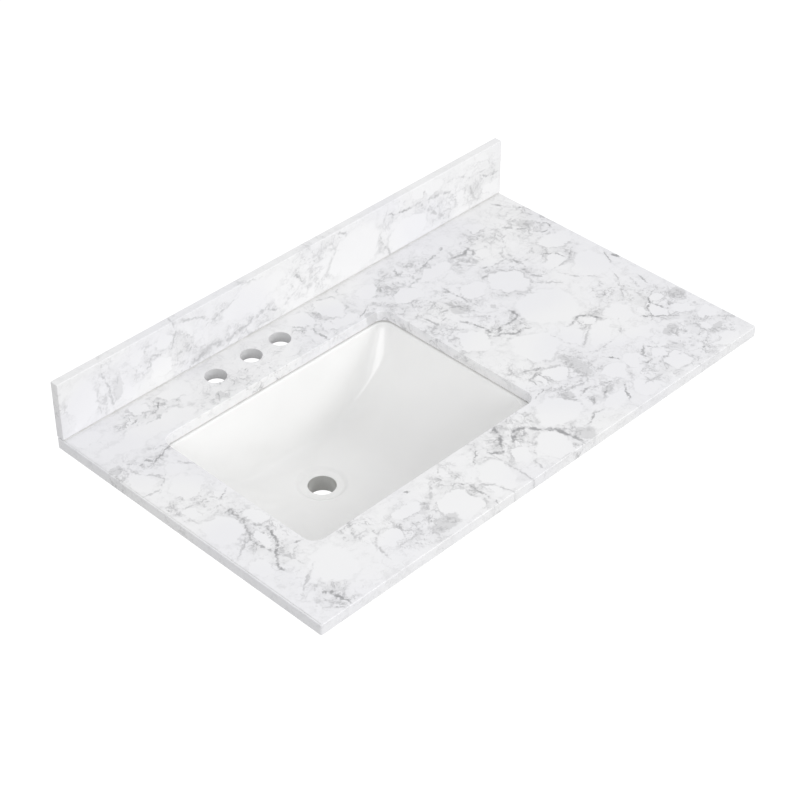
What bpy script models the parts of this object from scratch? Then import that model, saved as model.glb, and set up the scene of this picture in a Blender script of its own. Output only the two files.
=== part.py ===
"""Vanity sink top: a marble countertop slab and backsplash with an undermounted china basin.

Metres, +Z up, +X to the right, +Y to the wall. The origin is the seat on the cabinet's back
rail: the middle of the slab's length, on its underside, a rail's half depth in from the rear.
"""

import bisect
import math

import bmesh
import bpy
from mathutils import Matrix, Vector

# Fits between pieces
clearance = 0.0003
cut_overrun = 0.004
seam_tolerance = 0.00001

# Countertop slab
slab_length = 0.9398
slab_depth = 0.5588
slab_thickness = 0.019
slab_corner_radius = 0.003
stone_arris = 0.0015
seat_setback = 0.020

# Basin cut-out: its length, and the stone left beside, before and behind it
cutout_length = 0.460
cutout_from_left = 0.104
cutout_from_front = 0.1235
cutout_from_rear = 0.1103
cutout_corner_radius = 0.020

# Faucet holes, in one row behind the cut-out
faucet_hole_diameter = 0.035
faucet_row_from_cutout = 0.0565
faucet_left_pitch = 0.0725
faucet_right_pitch = 0.060

# Backsplash and the adhesive bed that it stands on
backsplash_height = 0.1016
backsplash_thickness = 0.015
backsplash_bed = 0.002
adhesive_setback = 0.002

# Basin flange and the sealant between it and the slab
flange_overlap = 0.024
flange_thickness = 0.013
flange_corner_radius = 0.030
flange_edge_radius = 0.003
sealant_thickness = 0.0015
sealant_setback = 0.0015

# Bowl
bowl_reveal = 0.0005
rim_round = 0.003
china_wall = 0.009
bowl_depth = 0.1455
bowl_rear_corner_radius = 0.020
bowl_front_corner_radius = 0.045
end_wall_inset = 0.053
rear_wall_inset = 0.014
front_wall_inset = 0.030
foot_rear_corner_radius = 0.085
foot_front_corner_radius = 0.090
end_blend = 0.125
rear_blend = 0.030
front_blend = 0.042
flange_fillet = 0.006
floor_slope_share = 0.11
blend_limit_share = 0.92

# Drain
drain_from_cutout = 0.0955
drain_hole_diameter = 0.0445
drain_edge_bevel = 0.002
drain_bore_stock = 0.0015
recess_diameter = 0.086
recess_depth = 0.004
boss_diameter = 0.076
boss_drop = 0.030
boss_edge_radius = 0.003

# Overflow: a slot in the front wall and a cast channel from it to the drain
overflow_width = 0.030
overflow_height = 0.012
overflow_below_rim = 0.036
channel_width = 0.034
channel_depth = 0.010
channel_top_margin = 0.005
channel_skin = 0.006
channel_corner_radius = 0.0035
hump_corner_radius = 0.009

# Basin clips: an anchor in the slab, a stud, a cranked clip, a washer and a wing nut
rear_clip_from_centre = 0.165
front_clip_from_centre = 0.130
stud_from_flange = 0.013
stud_diameter = 0.006
stud_projection = 0.008
anchor_diameter = 0.0096
anchor_cover = 0.006
anchor_floor = 0.002
clip_width = 0.022
clip_gauge = 0.0025
clip_toe = 0.009
clip_heel = 0.013
clip_bend_radius = 0.003
clip_slot_length = 0.012
clip_slot_play = 0.0006
washer_diameter = 0.018
washer_thickness = 0.0015
nut_base_diameter = 0.013
nut_top_diameter = 0.0105
nut_height = 0.009
wing_span = 0.028
wing_thickness = 0.0025
wing_height = 0.013
wing_tip_radius = 0.004

# How finely round shapes are divided
corner_steps = 8
arris_steps = 2
long_side_steps = 6
short_side_steps = 5
round_steps = 3
wall_steps = 4
blend_steps = 7
floor_steps = 4
recess_steps = 5
hole_sides = 32
bore_sides = 48
fastener_sides = 14
channel_steps = 15
section_steps = 3
sharp_angle = math.radians(32)

# Places worked out from the sizes above
slab_left = -slab_length / 2
slab_right = slab_length / 2
slab_rear = seat_setback
slab_front = seat_setback - slab_depth
cutout_low = Vector((slab_left + cutout_from_left, slab_front + cutout_from_front, 0))
cutout_high = Vector((cutout_low.x + cutout_length, slab_rear - cutout_from_rear, 0))
bowl_centre_x = (cutout_low.x + cutout_high.x) / 2
bowl_centre_y = (cutout_low.y + cutout_high.y) / 2
faucet_row_y = cutout_high.y + faucet_row_from_cutout
drain_y = cutout_high.y - drain_from_cutout
rim_top = -sealant_thickness
flange_underside = rim_top - flange_thickness
recess_top = rim_top - bowl_depth
drain_top = recess_top - recess_depth
boss_bottom = drain_top - boss_drop


def clear_scene():
    """Remove every object that is in the scene."""
    for old in list(bpy.data.objects):
        bpy.data.objects.remove(old, do_unlink=True)


def finish_material(name, colour, roughness, metallic):
    """A Principled material with a plain colour."""
    made = bpy.data.materials.new(name)
    made.use_nodes = True
    shader = made.node_tree.nodes["Principled BSDF"]
    shader.inputs["Base Color"].default_value = (*colour, 1)
    shader.inputs["Roughness"].default_value = roughness
    shader.inputs["Metallic"].default_value = metallic
    return made


def polished_marble():
    """Engineered marble, ground and polished: white with a faint cool cast."""
    return finish_material("polished_marble", (0.80, 0.80, 0.82), 0.18, 0)


def glazed_china():
    """Vitreous china under a clear glaze: a warmer white, and glossier."""
    return finish_material("glazed_china", (0.86, 0.86, 0.85), 0.08, 0)


def clear_silicone():
    """Cured silicone, pale and slightly cloudy."""
    return finish_material("clear_silicone", (0.75, 0.75, 0.73), 0.45, 0)


def zinc_plate():
    """Bright zinc plating on pressed or turned steel."""
    return finish_material("zinc_plate", (0.62, 0.63, 0.64), 0.35, 1)


def brass():
    """Turned brass, bare."""
    return finish_material("brass", (0.72, 0.54, 0.27), 0.32, 1)


def mesh_from(name, shape):
    """Turn a bmesh into a smooth-shaded mesh with its faces pointing out."""
    bmesh.ops.recalc_face_normals(shape, faces=shape.faces)
    mesh = bpy.data.meshes.new(name)
    shape.to_mesh(mesh)
    shape.free()
    mesh.shade_smooth()
    mesh.set_sharp_from_angle(angle=sharp_angle)
    return mesh


def add_piece(name, mesh, material, place=(0, 0, 0), turn=0):
    """Add an object, turned about its upright axis and moved to its place."""
    piece = bpy.data.objects.new(name, mesh)
    if not mesh.materials:
        mesh.materials.append(material)
    piece.location = place
    piece.rotation_euler = (0, 0, turn)
    bpy.context.scene.collection.objects.link(piece)
    return piece


def add_cutter(name, shape):
    """Add a wire guide that other pieces are cut or joined with."""
    guide = bpy.data.objects.new(name, mesh_from(name, shape))
    guide.hide_render = True
    guide.display_type = "WIRE"
    bpy.context.scene.collection.objects.link(guide)
    return guide


def combine(piece, guide, operation):
    """Cut or join a guide with a piece by a live Boolean."""
    step = piece.modifiers.new(guide.name, "BOOLEAN")
    step.operation = operation
    step.solver = "EXACT"
    step.object = guide


def baked_mesh(piece):
    """Take a piece's mesh with its modifiers worked in, and drop the piece."""
    bpy.context.view_layer.update()
    graph = bpy.context.evaluated_depsgraph_get()
    mesh = bpy.data.meshes.new_from_object(piece.evaluated_get(graph))
    mesh.name = piece.name
    mesh.shade_smooth()
    mesh.set_sharp_from_angle(angle=sharp_angle)
    bpy.data.objects.remove(piece, do_unlink=True)
    return mesh


def add_box(shape, low, high):
    """Add a block between two corners to a bmesh."""
    size = Vector(high) - Vector(low)
    centre = (Vector(high) + Vector(low)) / 2
    matrix = Matrix.Translation(centre) @ Matrix.Diagonal((*size, 1))
    bmesh.ops.create_cube(shape, size=1, matrix=matrix)


def add_cylinder(shape, centre, diameter, low, high, sides=hole_sides, top_diameter=None):
    """Add an upright cylinder or cone between two heights to a bmesh."""
    place = Matrix.Translation((centre[0], centre[1], (low + high) / 2))
    top = diameter if top_diameter is None else top_diameter
    bmesh.ops.create_cone(
        shape,
        cap_ends=True,
        segments=sides,
        radius1=diameter / 2,
        radius2=top / 2,
        depth=high - low,
        matrix=place,
    )


def rounded_outline(low, high, radii, steps=corner_steps, sides=(long_side_steps, short_side_steps)):
    """Points and outward directions round a rectangle with rounded corners.

    The corners come in the order rear right, rear left, front left, front right, and every
    outline with the same steps has as many points, so that one can be lofted to another.
    """
    corners = (
        (high.x, high.y, -1, -1, 0),
        (low.x, high.y, 1, -1, 1),
        (low.x, low.y, 1, 1, 2),
        (high.x, low.y, -1, 1, 3),
    )
    arcs = []
    for (x, y, inward_x, inward_y, quarter), radius in zip(corners, radii):
        arc = []
        for step in range(steps + 1):
            angle = (quarter + step / steps) * math.pi / 2
            way = Vector((math.cos(angle), math.sin(angle)))
            point = Vector((x + inward_x * radius, y + inward_y * radius)) + way * radius
            arc.append((point, way))
        arcs.append(arc)
    outline = []
    for index, arc in enumerate(arcs):
        outline.extend(arc)
        start, way = arc[-1]
        end = arcs[(index + 1) % len(arcs)][0][0]
        parts = sides[index % 2]
        for step in range(1, parts):
            outline.append((start.lerp(end, step / parts), way))
    return outline


def grown_outline(low, high, radii, margin):
    """The same outline moved outward by a margin, or inward where that is negative."""
    step = Vector((margin, margin, 0))
    return rounded_outline(low - step, high + step, [radius + margin for radius in radii])


def ring_at(outline, height):
    """Lift a flat outline to a height."""
    return [Vector((point.x, point.y, height)) for point, way in outline]


def extrude_ring(shape, ring, points):
    """Extrude a loop of vertices, and move the new loop to the points given."""
    edges = [shape.edges.get((ring[index - 1], ring[index])) for index in range(len(ring))]
    made = bmesh.ops.extrude_edge_only(shape, edges=edges)["geom"]
    fresh = {item for item in made if isinstance(item, bmesh.types.BMVert)}
    following = []
    for corner, point in zip(ring, points):
        partners = [edge.other_vert(corner) for edge in corner.link_edges]
        partner = next(vert for vert in partners if vert in fresh)
        partner.co = point
        following.append(partner)
    return following


def loft(shape, rings, closed):
    """Skin a row of rings, closed into a loop or capped at its two ends."""
    first = [shape.verts.new(point) for point in rings[0]]
    for index in range(len(first)):
        shape.edges.new((first[index - 1], first[index]))
    ring = first
    for points in rings[1:]:
        ring = extrude_ring(shape, ring, points)
    if closed:
        ring = extrude_ring(shape, ring, rings[0])
        bmesh.ops.remove_doubles(shape, verts=first + ring, dist=clearance / 10)
    else:
        shape.faces.new(first)
        shape.faces.new(ring)


def quarter_round(outer_margin, outer_height, inner_margin, inner_height, reverse=False):
    """Margins and heights along a quarter ellipse between an upright and a level edge."""
    places = []
    for step in range(round_steps + 1):
        angle = step / round_steps * math.pi / 2
        across = outer_margin + (inner_margin - outer_margin) * (1 - math.cos(angle))
        up = outer_height + (inner_height - outer_height) * math.sin(angle)
        places.append((across, up))
    return list(reversed(places)) if reverse else places


def faucet_places():
    """The three hole centres, the middle one on the bowl's centre line."""
    offsets = (-faucet_left_pitch, 0, faucet_right_pitch)
    return [Vector((bowl_centre_x + offset, faucet_row_y)) for offset in offsets]


def clip_places():
    """Names, stud axes and outward turns of the clips round the flange."""
    reach = flange_overlap + stud_from_flange
    rear_y = cutout_high.y + reach
    front_y = cutout_low.y - reach
    quarter = math.pi / 2
    return (
        ("rear_left", bowl_centre_x - rear_clip_from_centre, rear_y, quarter),
        ("rear_right", bowl_centre_x + rear_clip_from_centre, rear_y, quarter),
        ("front_left", bowl_centre_x - front_clip_from_centre, front_y, -quarter),
        ("front_right", bowl_centre_x + front_clip_from_centre, front_y, -quarter),
        ("left_end", cutout_low.x - reach, bowl_centre_y, math.pi),
        ("right_end", cutout_high.x + reach, bowl_centre_y, 0),
    )


def cutout_outline(margin=0):
    """The outline of the basin cut-out, grown by a margin."""
    return grown_outline(cutout_low, cutout_high, [cutout_corner_radius] * 4, margin)


def flange_outline(margin=0):
    """The outline of the basin's flange, grown by a margin."""
    step = Vector((flange_overlap, flange_overlap, 0))
    return grown_outline(
        cutout_low - step, cutout_high + step, [flange_corner_radius] * 4, margin
    )


def bowl_outline(margin=0):
    """The outline of the bowl's mouth, whose front corners are the rounder ones."""
    step = Vector((bowl_reveal, bowl_reveal, 0))
    rear = bowl_rear_corner_radius
    front = bowl_front_corner_radius
    return grown_outline(cutout_low + step, cutout_high - step, [rear, rear, front, front], margin)


def foot_outline(margin=0):
    """The outline where the bowl's walls would meet its floor without the blend."""
    inner = bowl_reveal + rim_round
    low = cutout_low + Vector((inner + end_wall_inset, inner + front_wall_inset, 0))
    high = cutout_high - Vector((inner + end_wall_inset, inner + rear_wall_inset, 0))
    rear = foot_rear_corner_radius
    front = foot_front_corner_radius
    return grown_outline(low, high, [rear, rear, front, front], margin)


def blend_length(way):
    """How long the blend from wall to floor is on the side that faces a direction."""
    crosswise = rear_blend if way.y > 0 else front_blend
    return end_blend * way.x**2 + crosswise * way.y**2


def meridian(rim, foot, throat, blend):
    """Points down a wall, round the blend at its foot and along the floor."""
    wall = rim - foot
    floor = throat - foot
    start = foot + wall.normalized() * min(blend, wall.length * blend_limit_share)
    end = foot + floor.normalized() * min(blend, floor.length * blend_limit_share)
    points = [rim.lerp(start, step / wall_steps) for step in range(wall_steps)]
    for step in range(blend_steps):
        share = step / blend_steps
        points.append(start.lerp(foot, share).lerp(foot.lerp(end, share), share))
    points.extend(end.lerp(throat, step / floor_steps) for step in range(floor_steps + 1))
    return points


def bowl_surface(margin, top, throat_radius):
    """Rings from a height under the rim to the drain, a wall thickness out for the outside."""
    drain = Vector((bowl_centre_x, drain_y))
    lines = []
    feet = [foot for foot, foot_way in foot_outline(margin)]
    for (rim, way), foot in zip(bowl_outline(margin - rim_round), feet):
        run = (foot - drain).length - recess_diameter / 2
        rise = floor_slope_share * run
        throat = drain + (foot - drain).normalized() * throat_radius
        lines.append(
            meridian(
                Vector((rim.x, rim.y, top)),
                Vector((foot.x, foot.y, recess_top + rise - margin)),
                Vector((throat.x, throat.y, recess_top - margin)),
                blend_length(way),
            )
        )
    return [list(ring) for ring in zip(*lines)]


def drain_ring(radius, height):
    """A ring round the drain whose points lie on the bowl's own meridians."""
    drain = Vector((bowl_centre_x, drain_y))
    points = []
    for foot, way in foot_outline():
        place = drain + (foot - drain).normalized() * radius
        points.append(Vector((place.x, place.y, height)))
    return points


def recess_rings():
    """Rings down the dished recess that the drain's flange sits in."""
    outer = recess_diameter / 2
    inner = drain_hole_diameter / 2
    rings = []
    for step in range(1, recess_steps + 1):
        share = step / recess_steps
        fall = share * share * (3 - 2 * share)
        rings.append(drain_ring(outer + (inner - outer) * share, recess_top - recess_depth * fall))
    return rings


def basin_rings():
    """Every ring of the basin in order, from its mouth through the drain and back."""
    rough_hole = drain_hole_diameter / 2 - drain_bore_stock
    boss = boss_diameter / 2
    rings = []
    for margin, height in quarter_round(-rim_round, rim_top - rim_round, 0, rim_top, True)[:-1]:
        rings.append(ring_at(bowl_outline(margin), height))
    rings.extend(bowl_surface(0, rim_top - rim_round, recess_diameter / 2))
    rings.extend(recess_rings())
    rings.append(drain_ring(rough_hole, drain_top))
    rings.append(drain_ring(rough_hole, boss_bottom))
    rings.append(drain_ring(boss - boss_edge_radius, boss_bottom))
    rings.append(drain_ring(boss, boss_bottom + boss_edge_radius))
    rings.append(drain_ring(boss, recess_top - china_wall - boss_edge_radius))
    rings.extend(reversed(outer_surface()))
    wall = china_wall - rim_round + flange_fillet
    rings.append(ring_at(bowl_outline(wall), flange_underside))
    edge = flange_edge_radius
    for margin, height in quarter_round(0, flange_underside + edge, -edge, flange_underside, True):
        rings.append(ring_at(flange_outline(margin), height))
    for margin, height in quarter_round(0, rim_top - edge, -edge, rim_top):
        rings.append(ring_at(flange_outline(margin), height))
    return rings


def outer_surface():
    """Rings down the outside of the bowl, from the flange's fillet to the drain's boss."""
    throat_radius = boss_diameter / 2 + boss_edge_radius
    return bowl_surface(china_wall, flange_underside - flange_fillet, throat_radius)


def front_line():
    """The basin's outer surface down the middle of its front wall and under its floor."""
    outline = bowl_outline(china_wall - rim_round)
    rings = outer_surface()
    middle = min(
        (index for index, (point, way) in enumerate(outline) if way.y < 0),
        key=lambda index: abs(outline[index][0].x - bowl_centre_x),
    )
    return [Vector((bowl_centre_x, ring[middle].y, ring[middle].z)) for ring in rings]


def points_along(line, start_height, end_y):
    """Even points along a falling line, from a height to a depth from the front."""
    top = next(index for index, point in enumerate(line) if point.z < start_height)
    before = line[top - 1] if top > 0 else line[top] + (line[top] - line[top + 1])
    reach = (start_height - before.z) / (line[top].z - before.z)
    route = [before.lerp(line[top], reach)] + line[top:]
    route.append(Vector((route[-1].x, end_y, route[-1].z)))
    lengths = [0]
    for here, there in zip(route, route[1:]):
        lengths.append(lengths[-1] + (there - here).length)
    points = []
    for step in range(channel_steps + 1):
        wanted = lengths[-1] * step / channel_steps
        after = bisect.bisect_left(lengths, wanted, 1, len(lengths) - 1)
        span = lengths[after] - lengths[after - 1]
        share = (wanted - lengths[after - 1]) / span
        points.append(route[after - 1].lerp(route[after], share))
    return points


def swept_section(shape, path, width, inner, outer, radius):
    """Sweep a rounded section along a path under the basin, from an inner to an outer face."""
    across = Vector((1, 0, 0))
    low = Vector((-width / 2, inner, 0))
    high = Vector((width / 2, outer, 0))
    section = rounded_outline(low, high, [radius] * 4, section_steps, (1, 1))
    rings = []
    for index, point in enumerate(path):
        ahead = path[min(index + 1, len(path) - 1)]
        behind = path[max(index - 1, 0)]
        out = (ahead - behind).normalized().cross(across)
        rings.append([point + across * spot.x + out * spot.y for spot, way in section])
    loft(shape, rings, False)


def overflow_hump():
    """The cast ridge that holds the overflow channel."""
    shape = bmesh.new()
    path = points_along(front_line(), flange_underside + flange_thickness / 2, drain_y)
    width = channel_width + 2 * channel_skin
    outer = channel_depth + channel_skin
    swept_section(shape, path, width, -china_wall / 2, outer, hump_corner_radius)
    return shape


def overflow_channel():
    """The passage from behind the overflow slot to the drain."""
    shape = bmesh.new()
    start = rim_top - overflow_below_rim + overflow_height / 2 + channel_top_margin
    path = points_along(front_line(), start, drain_y)
    swept_section(shape, path, channel_width, 0, channel_depth, channel_corner_radius)
    return shape


def overflow_slot():
    """The round-ended slot through the front wall into the channel."""
    shape = bmesh.new()
    wall_y = cutout_low.y + bowl_reveal + rim_round
    middle = rim_top - overflow_below_rim
    spread = (overflow_width - overflow_height) / 2
    radius = overflow_height / 2
    channel_middle = wall_y + front_wall_lean() - china_wall - channel_depth / 2
    rings = []
    for y in (channel_middle, wall_y + front_wall_inset):
        ring = []
        for step in range(hole_sides):
            angle = (step + 1 / 2) / hole_sides * 2 * math.pi
            side = spread if math.cos(angle) > 0 else -spread
            x = bowl_centre_x + side + radius * math.cos(angle)
            ring.append(Vector((x, y, middle + radius * math.sin(angle))))
        rings.append(ring)
    loft(shape, rings, False)
    return shape


def front_wall_lean():
    """How far the front wall has leaned in by the height of the overflow slot."""
    return front_wall_inset * overflow_below_rim / bowl_depth


def countertop_slab(material):
    """The slab with its cut-out, faucet holes, clip anchor sockets and eased edges."""
    shape = bmesh.new()
    add_box(shape, (slab_left, slab_front, 0), (slab_right, slab_rear, slab_thickness))
    upright = [
        edge
        for edge in shape.edges
        if abs(edge.verts[0].co.z - edge.verts[1].co.z) > slab_thickness / 2
    ]
    bmesh.ops.bevel(
        shape,
        geom=upright,
        offset=slab_corner_radius,
        affect="EDGES",
        segments=round_steps,
        profile=0.5,
        material=-1,
    )
    slab = add_piece("countertop_slab", mesh_from("countertop_slab", shape), material)
    combine(slab, basin_cutter(), "DIFFERENCE")
    arris = slab.modifiers.new("eased_edges", "BEVEL")
    arris.width = stone_arris
    arris.segments = arris_steps
    arris.limit_method = "ANGLE"
    arris.angle_limit = sharp_angle
    arris.use_clamp_overlap = False
    combine(slab, drilling_cutter(), "DIFFERENCE")
    shading = slab.modifiers.new("even_shading", "WEIGHTED_NORMAL")
    shading.keep_sharp = True
    return slab


def basin_cutter():
    """The plug of stone that the basin cut-out takes out of the slab."""
    shape = bmesh.new()
    outline = cutout_outline()
    top = slab_thickness + cut_overrun
    loft(shape, [ring_at(outline, -cut_overrun), ring_at(outline, top)], False)
    return add_cutter("basin_cutter", shape)


def drilling_cutter():
    """The faucet holes right through, and the blind sockets for the clip anchors."""
    shape = bmesh.new()
    for place in faucet_places():
        top = slab_thickness + cut_overrun
        add_cylinder(shape, place, faucet_hole_diameter, -cut_overrun, top)
    socket = anchor_diameter + 2 * clearance
    for name, x, y, turn in clip_places():
        depth = slab_thickness - anchor_cover
        add_cylinder(shape, (x, y), socket, -cut_overrun, depth, fastener_sides)
    return add_cutter("drilling_cutter", shape)


def backsplash(material):
    """The upstand along the slab's rear edge, flush with its back and ends."""
    shape = bmesh.new()
    bottom = slab_thickness + backsplash_bed
    low = (slab_left, slab_rear - backsplash_thickness, bottom)
    add_box(shape, low, (slab_right, slab_rear, bottom + backsplash_height))
    bmesh.ops.bevel(
        shape,
        geom=shape.edges[:],
        offset=stone_arris,
        affect="EDGES",
        segments=arris_steps,
        profile=0.5,
        material=-1,
    )
    return add_piece("backsplash", mesh_from("backsplash", shape), material)


def backsplash_adhesive(material):
    """The bed of adhesive that the backsplash stands in."""
    shape = bmesh.new()
    low_x = slab_left + adhesive_setback
    low_y = slab_rear - backsplash_thickness + adhesive_setback
    high_y = slab_rear - adhesive_setback
    bottom = slab_thickness + clearance
    top = slab_thickness + backsplash_bed - clearance
    add_box(shape, (low_x, low_y, bottom), (slab_right - adhesive_setback, high_y, top))
    return add_piece("backsplash_adhesive", mesh_from("backsplash_adhesive", shape), material)


def basin(material):
    """The china bowl with its flange, dished drain and cast overflow."""
    shape = bmesh.new()
    loft(shape, basin_rings(), True)
    bowl = add_piece("basin", mesh_from("basin", shape), material)
    combine(bowl, add_cutter("hump_guide", overflow_hump()), "UNION")
    combine(bowl, add_cutter("channel_cutter", overflow_channel()), "DIFFERENCE")
    combine(bowl, add_cutter("slot_cutter", overflow_slot()), "DIFFERENCE")
    combine(bowl, add_cutter("bore_cutter", drain_bore()), "DIFFERENCE")
    seams = bowl.modifiers.new("closed_seams", "WELD")
    seams.merge_threshold = seam_tolerance
    return bowl


def drain_bore():
    """The drain's bore and the bevel round its top, cut last so that the hump leaves it open."""
    shape = bmesh.new()
    radius = drain_hole_diameter / 2
    bevel_low = drain_top - drain_edge_bevel
    reach = drain_edge_bevel + cut_overrun
    profile = (
        (radius, boss_bottom - cut_overrun),
        (radius, bevel_low),
        (radius + reach, bevel_low + reach),
    )
    rings = []
    for distance, height in profile:
        ring = []
        for step in range(bore_sides):
            angle = (step + 1 / 2) / bore_sides * 2 * math.pi
            x = bowl_centre_x + distance * math.cos(angle)
            ring.append(Vector((x, drain_y + distance * math.sin(angle), height)))
        rings.append(ring)
    loft(shape, rings, False)
    return shape


def basin_sealant(material):
    """The bead of sealant between the flange and the slab's underside."""
    shape = bmesh.new()
    bottom = rim_top + clearance
    inner = cutout_outline(sealant_setback)
    outer = flange_outline(-sealant_setback - flange_edge_radius)
    rings = [
        ring_at(inner, bottom),
        ring_at(inner, -clearance),
        ring_at(outer, -clearance),
        ring_at(outer, bottom),
    ]
    loft(shape, rings, True)
    return add_piece("basin_sealant", mesh_from("basin_sealant", shape), material)


def anchor_mesh(material):
    """A brass insert with a blind bore for the stud, its mouth at the slab's underside."""
    shape = bmesh.new()
    top = slab_thickness - anchor_cover - clearance
    add_cylinder(shape, (0, 0), anchor_diameter, 0, top, fastener_sides)
    blank = add_piece("anchor", mesh_from("anchor", shape), material)
    bore = bmesh.new()
    add_cylinder(
        bore, (0, 0), stud_diameter + 2 * clearance, -cut_overrun, top - anchor_floor, fastener_sides
    )
    combine(blank, add_cutter("anchor_bore_cutter", bore), "DIFFERENCE")
    return baked_mesh(blank)


def stud_mesh():
    """The rod from the anchor down through the clip, the washer and the wing nut."""
    shape = bmesh.new()
    top = slab_thickness - anchor_cover - clearance - anchor_floor - clearance
    add_cylinder(shape, (0, 0), stud_diameter, nut_bottom() - stud_projection, top, fastener_sides)
    return mesh_from("stud", shape)


def clip_top():
    """The height of the clip plate's upper face, just under the flange."""
    return flange_underside - clearance


def washer_top():
    """The height of the washer's upper face, just under the clip."""
    return clip_top() - clip_gauge - clearance


def nut_top():
    """The height of the wing nut's bearing face, just under the washer."""
    return washer_top() - washer_thickness - clearance


def nut_bottom():
    """The height of the wing nut's lower end."""
    return nut_top() - nut_height


def clip_mesh(material):
    """A cranked steel clip: toe under the flange, heel up against the slab, slot for the stud."""
    shape = bmesh.new()
    toe_x = -stud_from_flange - clip_toe
    heel_x = clip_heel
    half = clip_width / 2
    top = clip_top()
    low = top - clip_gauge
    corners = (
        (toe_x, low),
        (heel_x, low),
        (heel_x, -clearance),
        (heel_x - clip_gauge, -clearance),
        (heel_x - clip_gauge, top),
        (toe_x, top),
    )
    side = [shape.verts.new((x, -half, z)) for x, z in corners]
    plate = shape.faces.new(side)
    made = bmesh.ops.extrude_face_region(shape, geom=[plate])["geom"]
    moved = [item for item in made if isinstance(item, bmesh.types.BMVert)]
    bmesh.ops.translate(shape, verts=moved, vec=(0, clip_width, 0))
    bend = [
        edge
        for edge in shape.edges
        if all((end.co.xz - Vector((heel_x, low))).length < clearance for end in edge.verts)
    ]
    toe_corners = [
        edge
        for edge in shape.edges
        if all(abs(end.co.x - toe_x) < clearance for end in edge.verts)
        and abs(edge.verts[0].co.y - edge.verts[1].co.y) < clearance
    ]
    for edges in (bend, toe_corners):
        bmesh.ops.bevel(
            shape,
            geom=edges,
            offset=clip_bend_radius,
            affect="EDGES",
            segments=round_steps,
            profile=0.5,
            material=-1,
        )
    blank = add_piece("clip", mesh_from("clip", shape), material)
    slot = bmesh.new()
    width = stud_diameter + 2 * clip_slot_play
    low_corner = Vector((-clip_slot_length / 2, -width / 2, 0))
    high_corner = Vector((clip_slot_length / 2, width / 2, 0))
    radii = [width / 2 - clearance] * 4
    outline = rounded_outline(low_corner, high_corner, radii, section_steps, (1, 1))
    loft(slot, [ring_at(outline, low - cut_overrun), ring_at(outline, top + cut_overrun)], False)
    combine(blank, add_cutter("clip_slot_cutter", slot), "DIFFERENCE")
    return baked_mesh(blank)


def washer_mesh(material):
    """A flat washer under the clip."""
    shape = bmesh.new()
    low = washer_top() - washer_thickness
    add_cylinder(shape, (0, 0), washer_diameter, low, washer_top(), fastener_sides)
    blank = add_piece("washer", mesh_from("washer", shape), material)
    combine(blank, stud_bore_cutter("washer_bore_cutter"), "DIFFERENCE")
    return baked_mesh(blank)


def stud_bore_cutter(name):
    """A cutter with running room for the stud, past both ends of what is on it."""
    shape = bmesh.new()
    bore = stud_diameter + 2 * clearance
    low = nut_bottom() - cut_overrun
    add_cylinder(shape, (0, 0), bore, low, washer_top() + cut_overrun, fastener_sides)
    return add_cutter(name, shape)


def wing_outline():
    """One wing's outline in its own plane, flared up and out to a round tip."""
    root = nut_top_diameter / 4
    tip_x = wing_span / 2 - wing_tip_radius
    tip_z = wing_height - wing_tip_radius
    points = [(root, 0), (nut_base_diameter / 2, 0)]
    for step in range(-1, round_steps + 2):
        angle = step / (round_steps + 1) * math.pi * 3 / 4
        points.append(
            (tip_x + wing_tip_radius * math.cos(angle), tip_z + wing_tip_radius * math.sin(angle))
        )
    points.append((root, nut_height * 2 / 3))
    return points


def wing_nut_mesh(material):
    """A wing nut, hub against the washer and wings hanging down."""
    shape = bmesh.new()
    add_cylinder(
        shape, (0, 0), nut_top_diameter, nut_bottom(), nut_top(), fastener_sides, nut_base_diameter
    )
    blank = add_piece("wing_nut", mesh_from("wing_nut", shape), material)
    for side, name in ((1, "right_wing"), (-1, "left_wing")):
        wing = bmesh.new()
        base = nut_top() - clearance
        near = [
            wing.verts.new((side * x, -wing_thickness / 2, base - z)) for x, z in wing_outline()
        ]
        face = wing.faces.new(near)
        made = bmesh.ops.extrude_face_region(wing, geom=[face])["geom"]
        moved = [item for item in made if isinstance(item, bmesh.types.BMVert)]
        bmesh.ops.translate(wing, verts=moved, vec=(0, wing_thickness, 0))
        combine(blank, add_cutter(name, wing), "UNION")
    combine(blank, stud_bore_cutter("nut_bore_cutter"), "DIFFERENCE")
    return baked_mesh(blank)


def basin_clips(steel, yellow_metal):
    """The sets of anchor, stud, clip, washer and wing nut round the flange."""
    anchor = anchor_mesh(yellow_metal)
    stud = stud_mesh()
    clip = clip_mesh(steel)
    washer = washer_mesh(steel)
    wing_nut = wing_nut_mesh(steel)
    for name, x, y, turn in clip_places():
        place = (x, y, 0)
        add_piece("anchor_" + name, anchor, yellow_metal, place, turn)
        add_piece("stud_" + name, stud, steel, place, turn)
        add_piece("clip_" + name, clip, steel, place, turn)
        add_piece("washer_" + name, washer, steel, place, turn)
        add_piece("wing_nut_" + name, wing_nut, steel, place, turn)


def build():
    """Model the whole vanity top."""
    clear_scene()
    marble = polished_marble()
    silicone = clear_silicone()
    countertop_slab(marble)
    backsplash_adhesive(silicone)
    backsplash(marble)
    basin(glazed_china())
    basin_sealant(silicone)
    basin_clips(zinc_plate(), brass())


build()
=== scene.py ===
"""Vanity sink top: a polished marble top and backsplash over a white china basin.

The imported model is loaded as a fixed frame. Each operator makes one piece, or a group of like
pieces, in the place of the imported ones, with its finish. Metres, unless a name ends in mm.
"""

import bisect
import functools
import math

import bmesh
import bpy
from mathutils import Matrix, Vector


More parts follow.
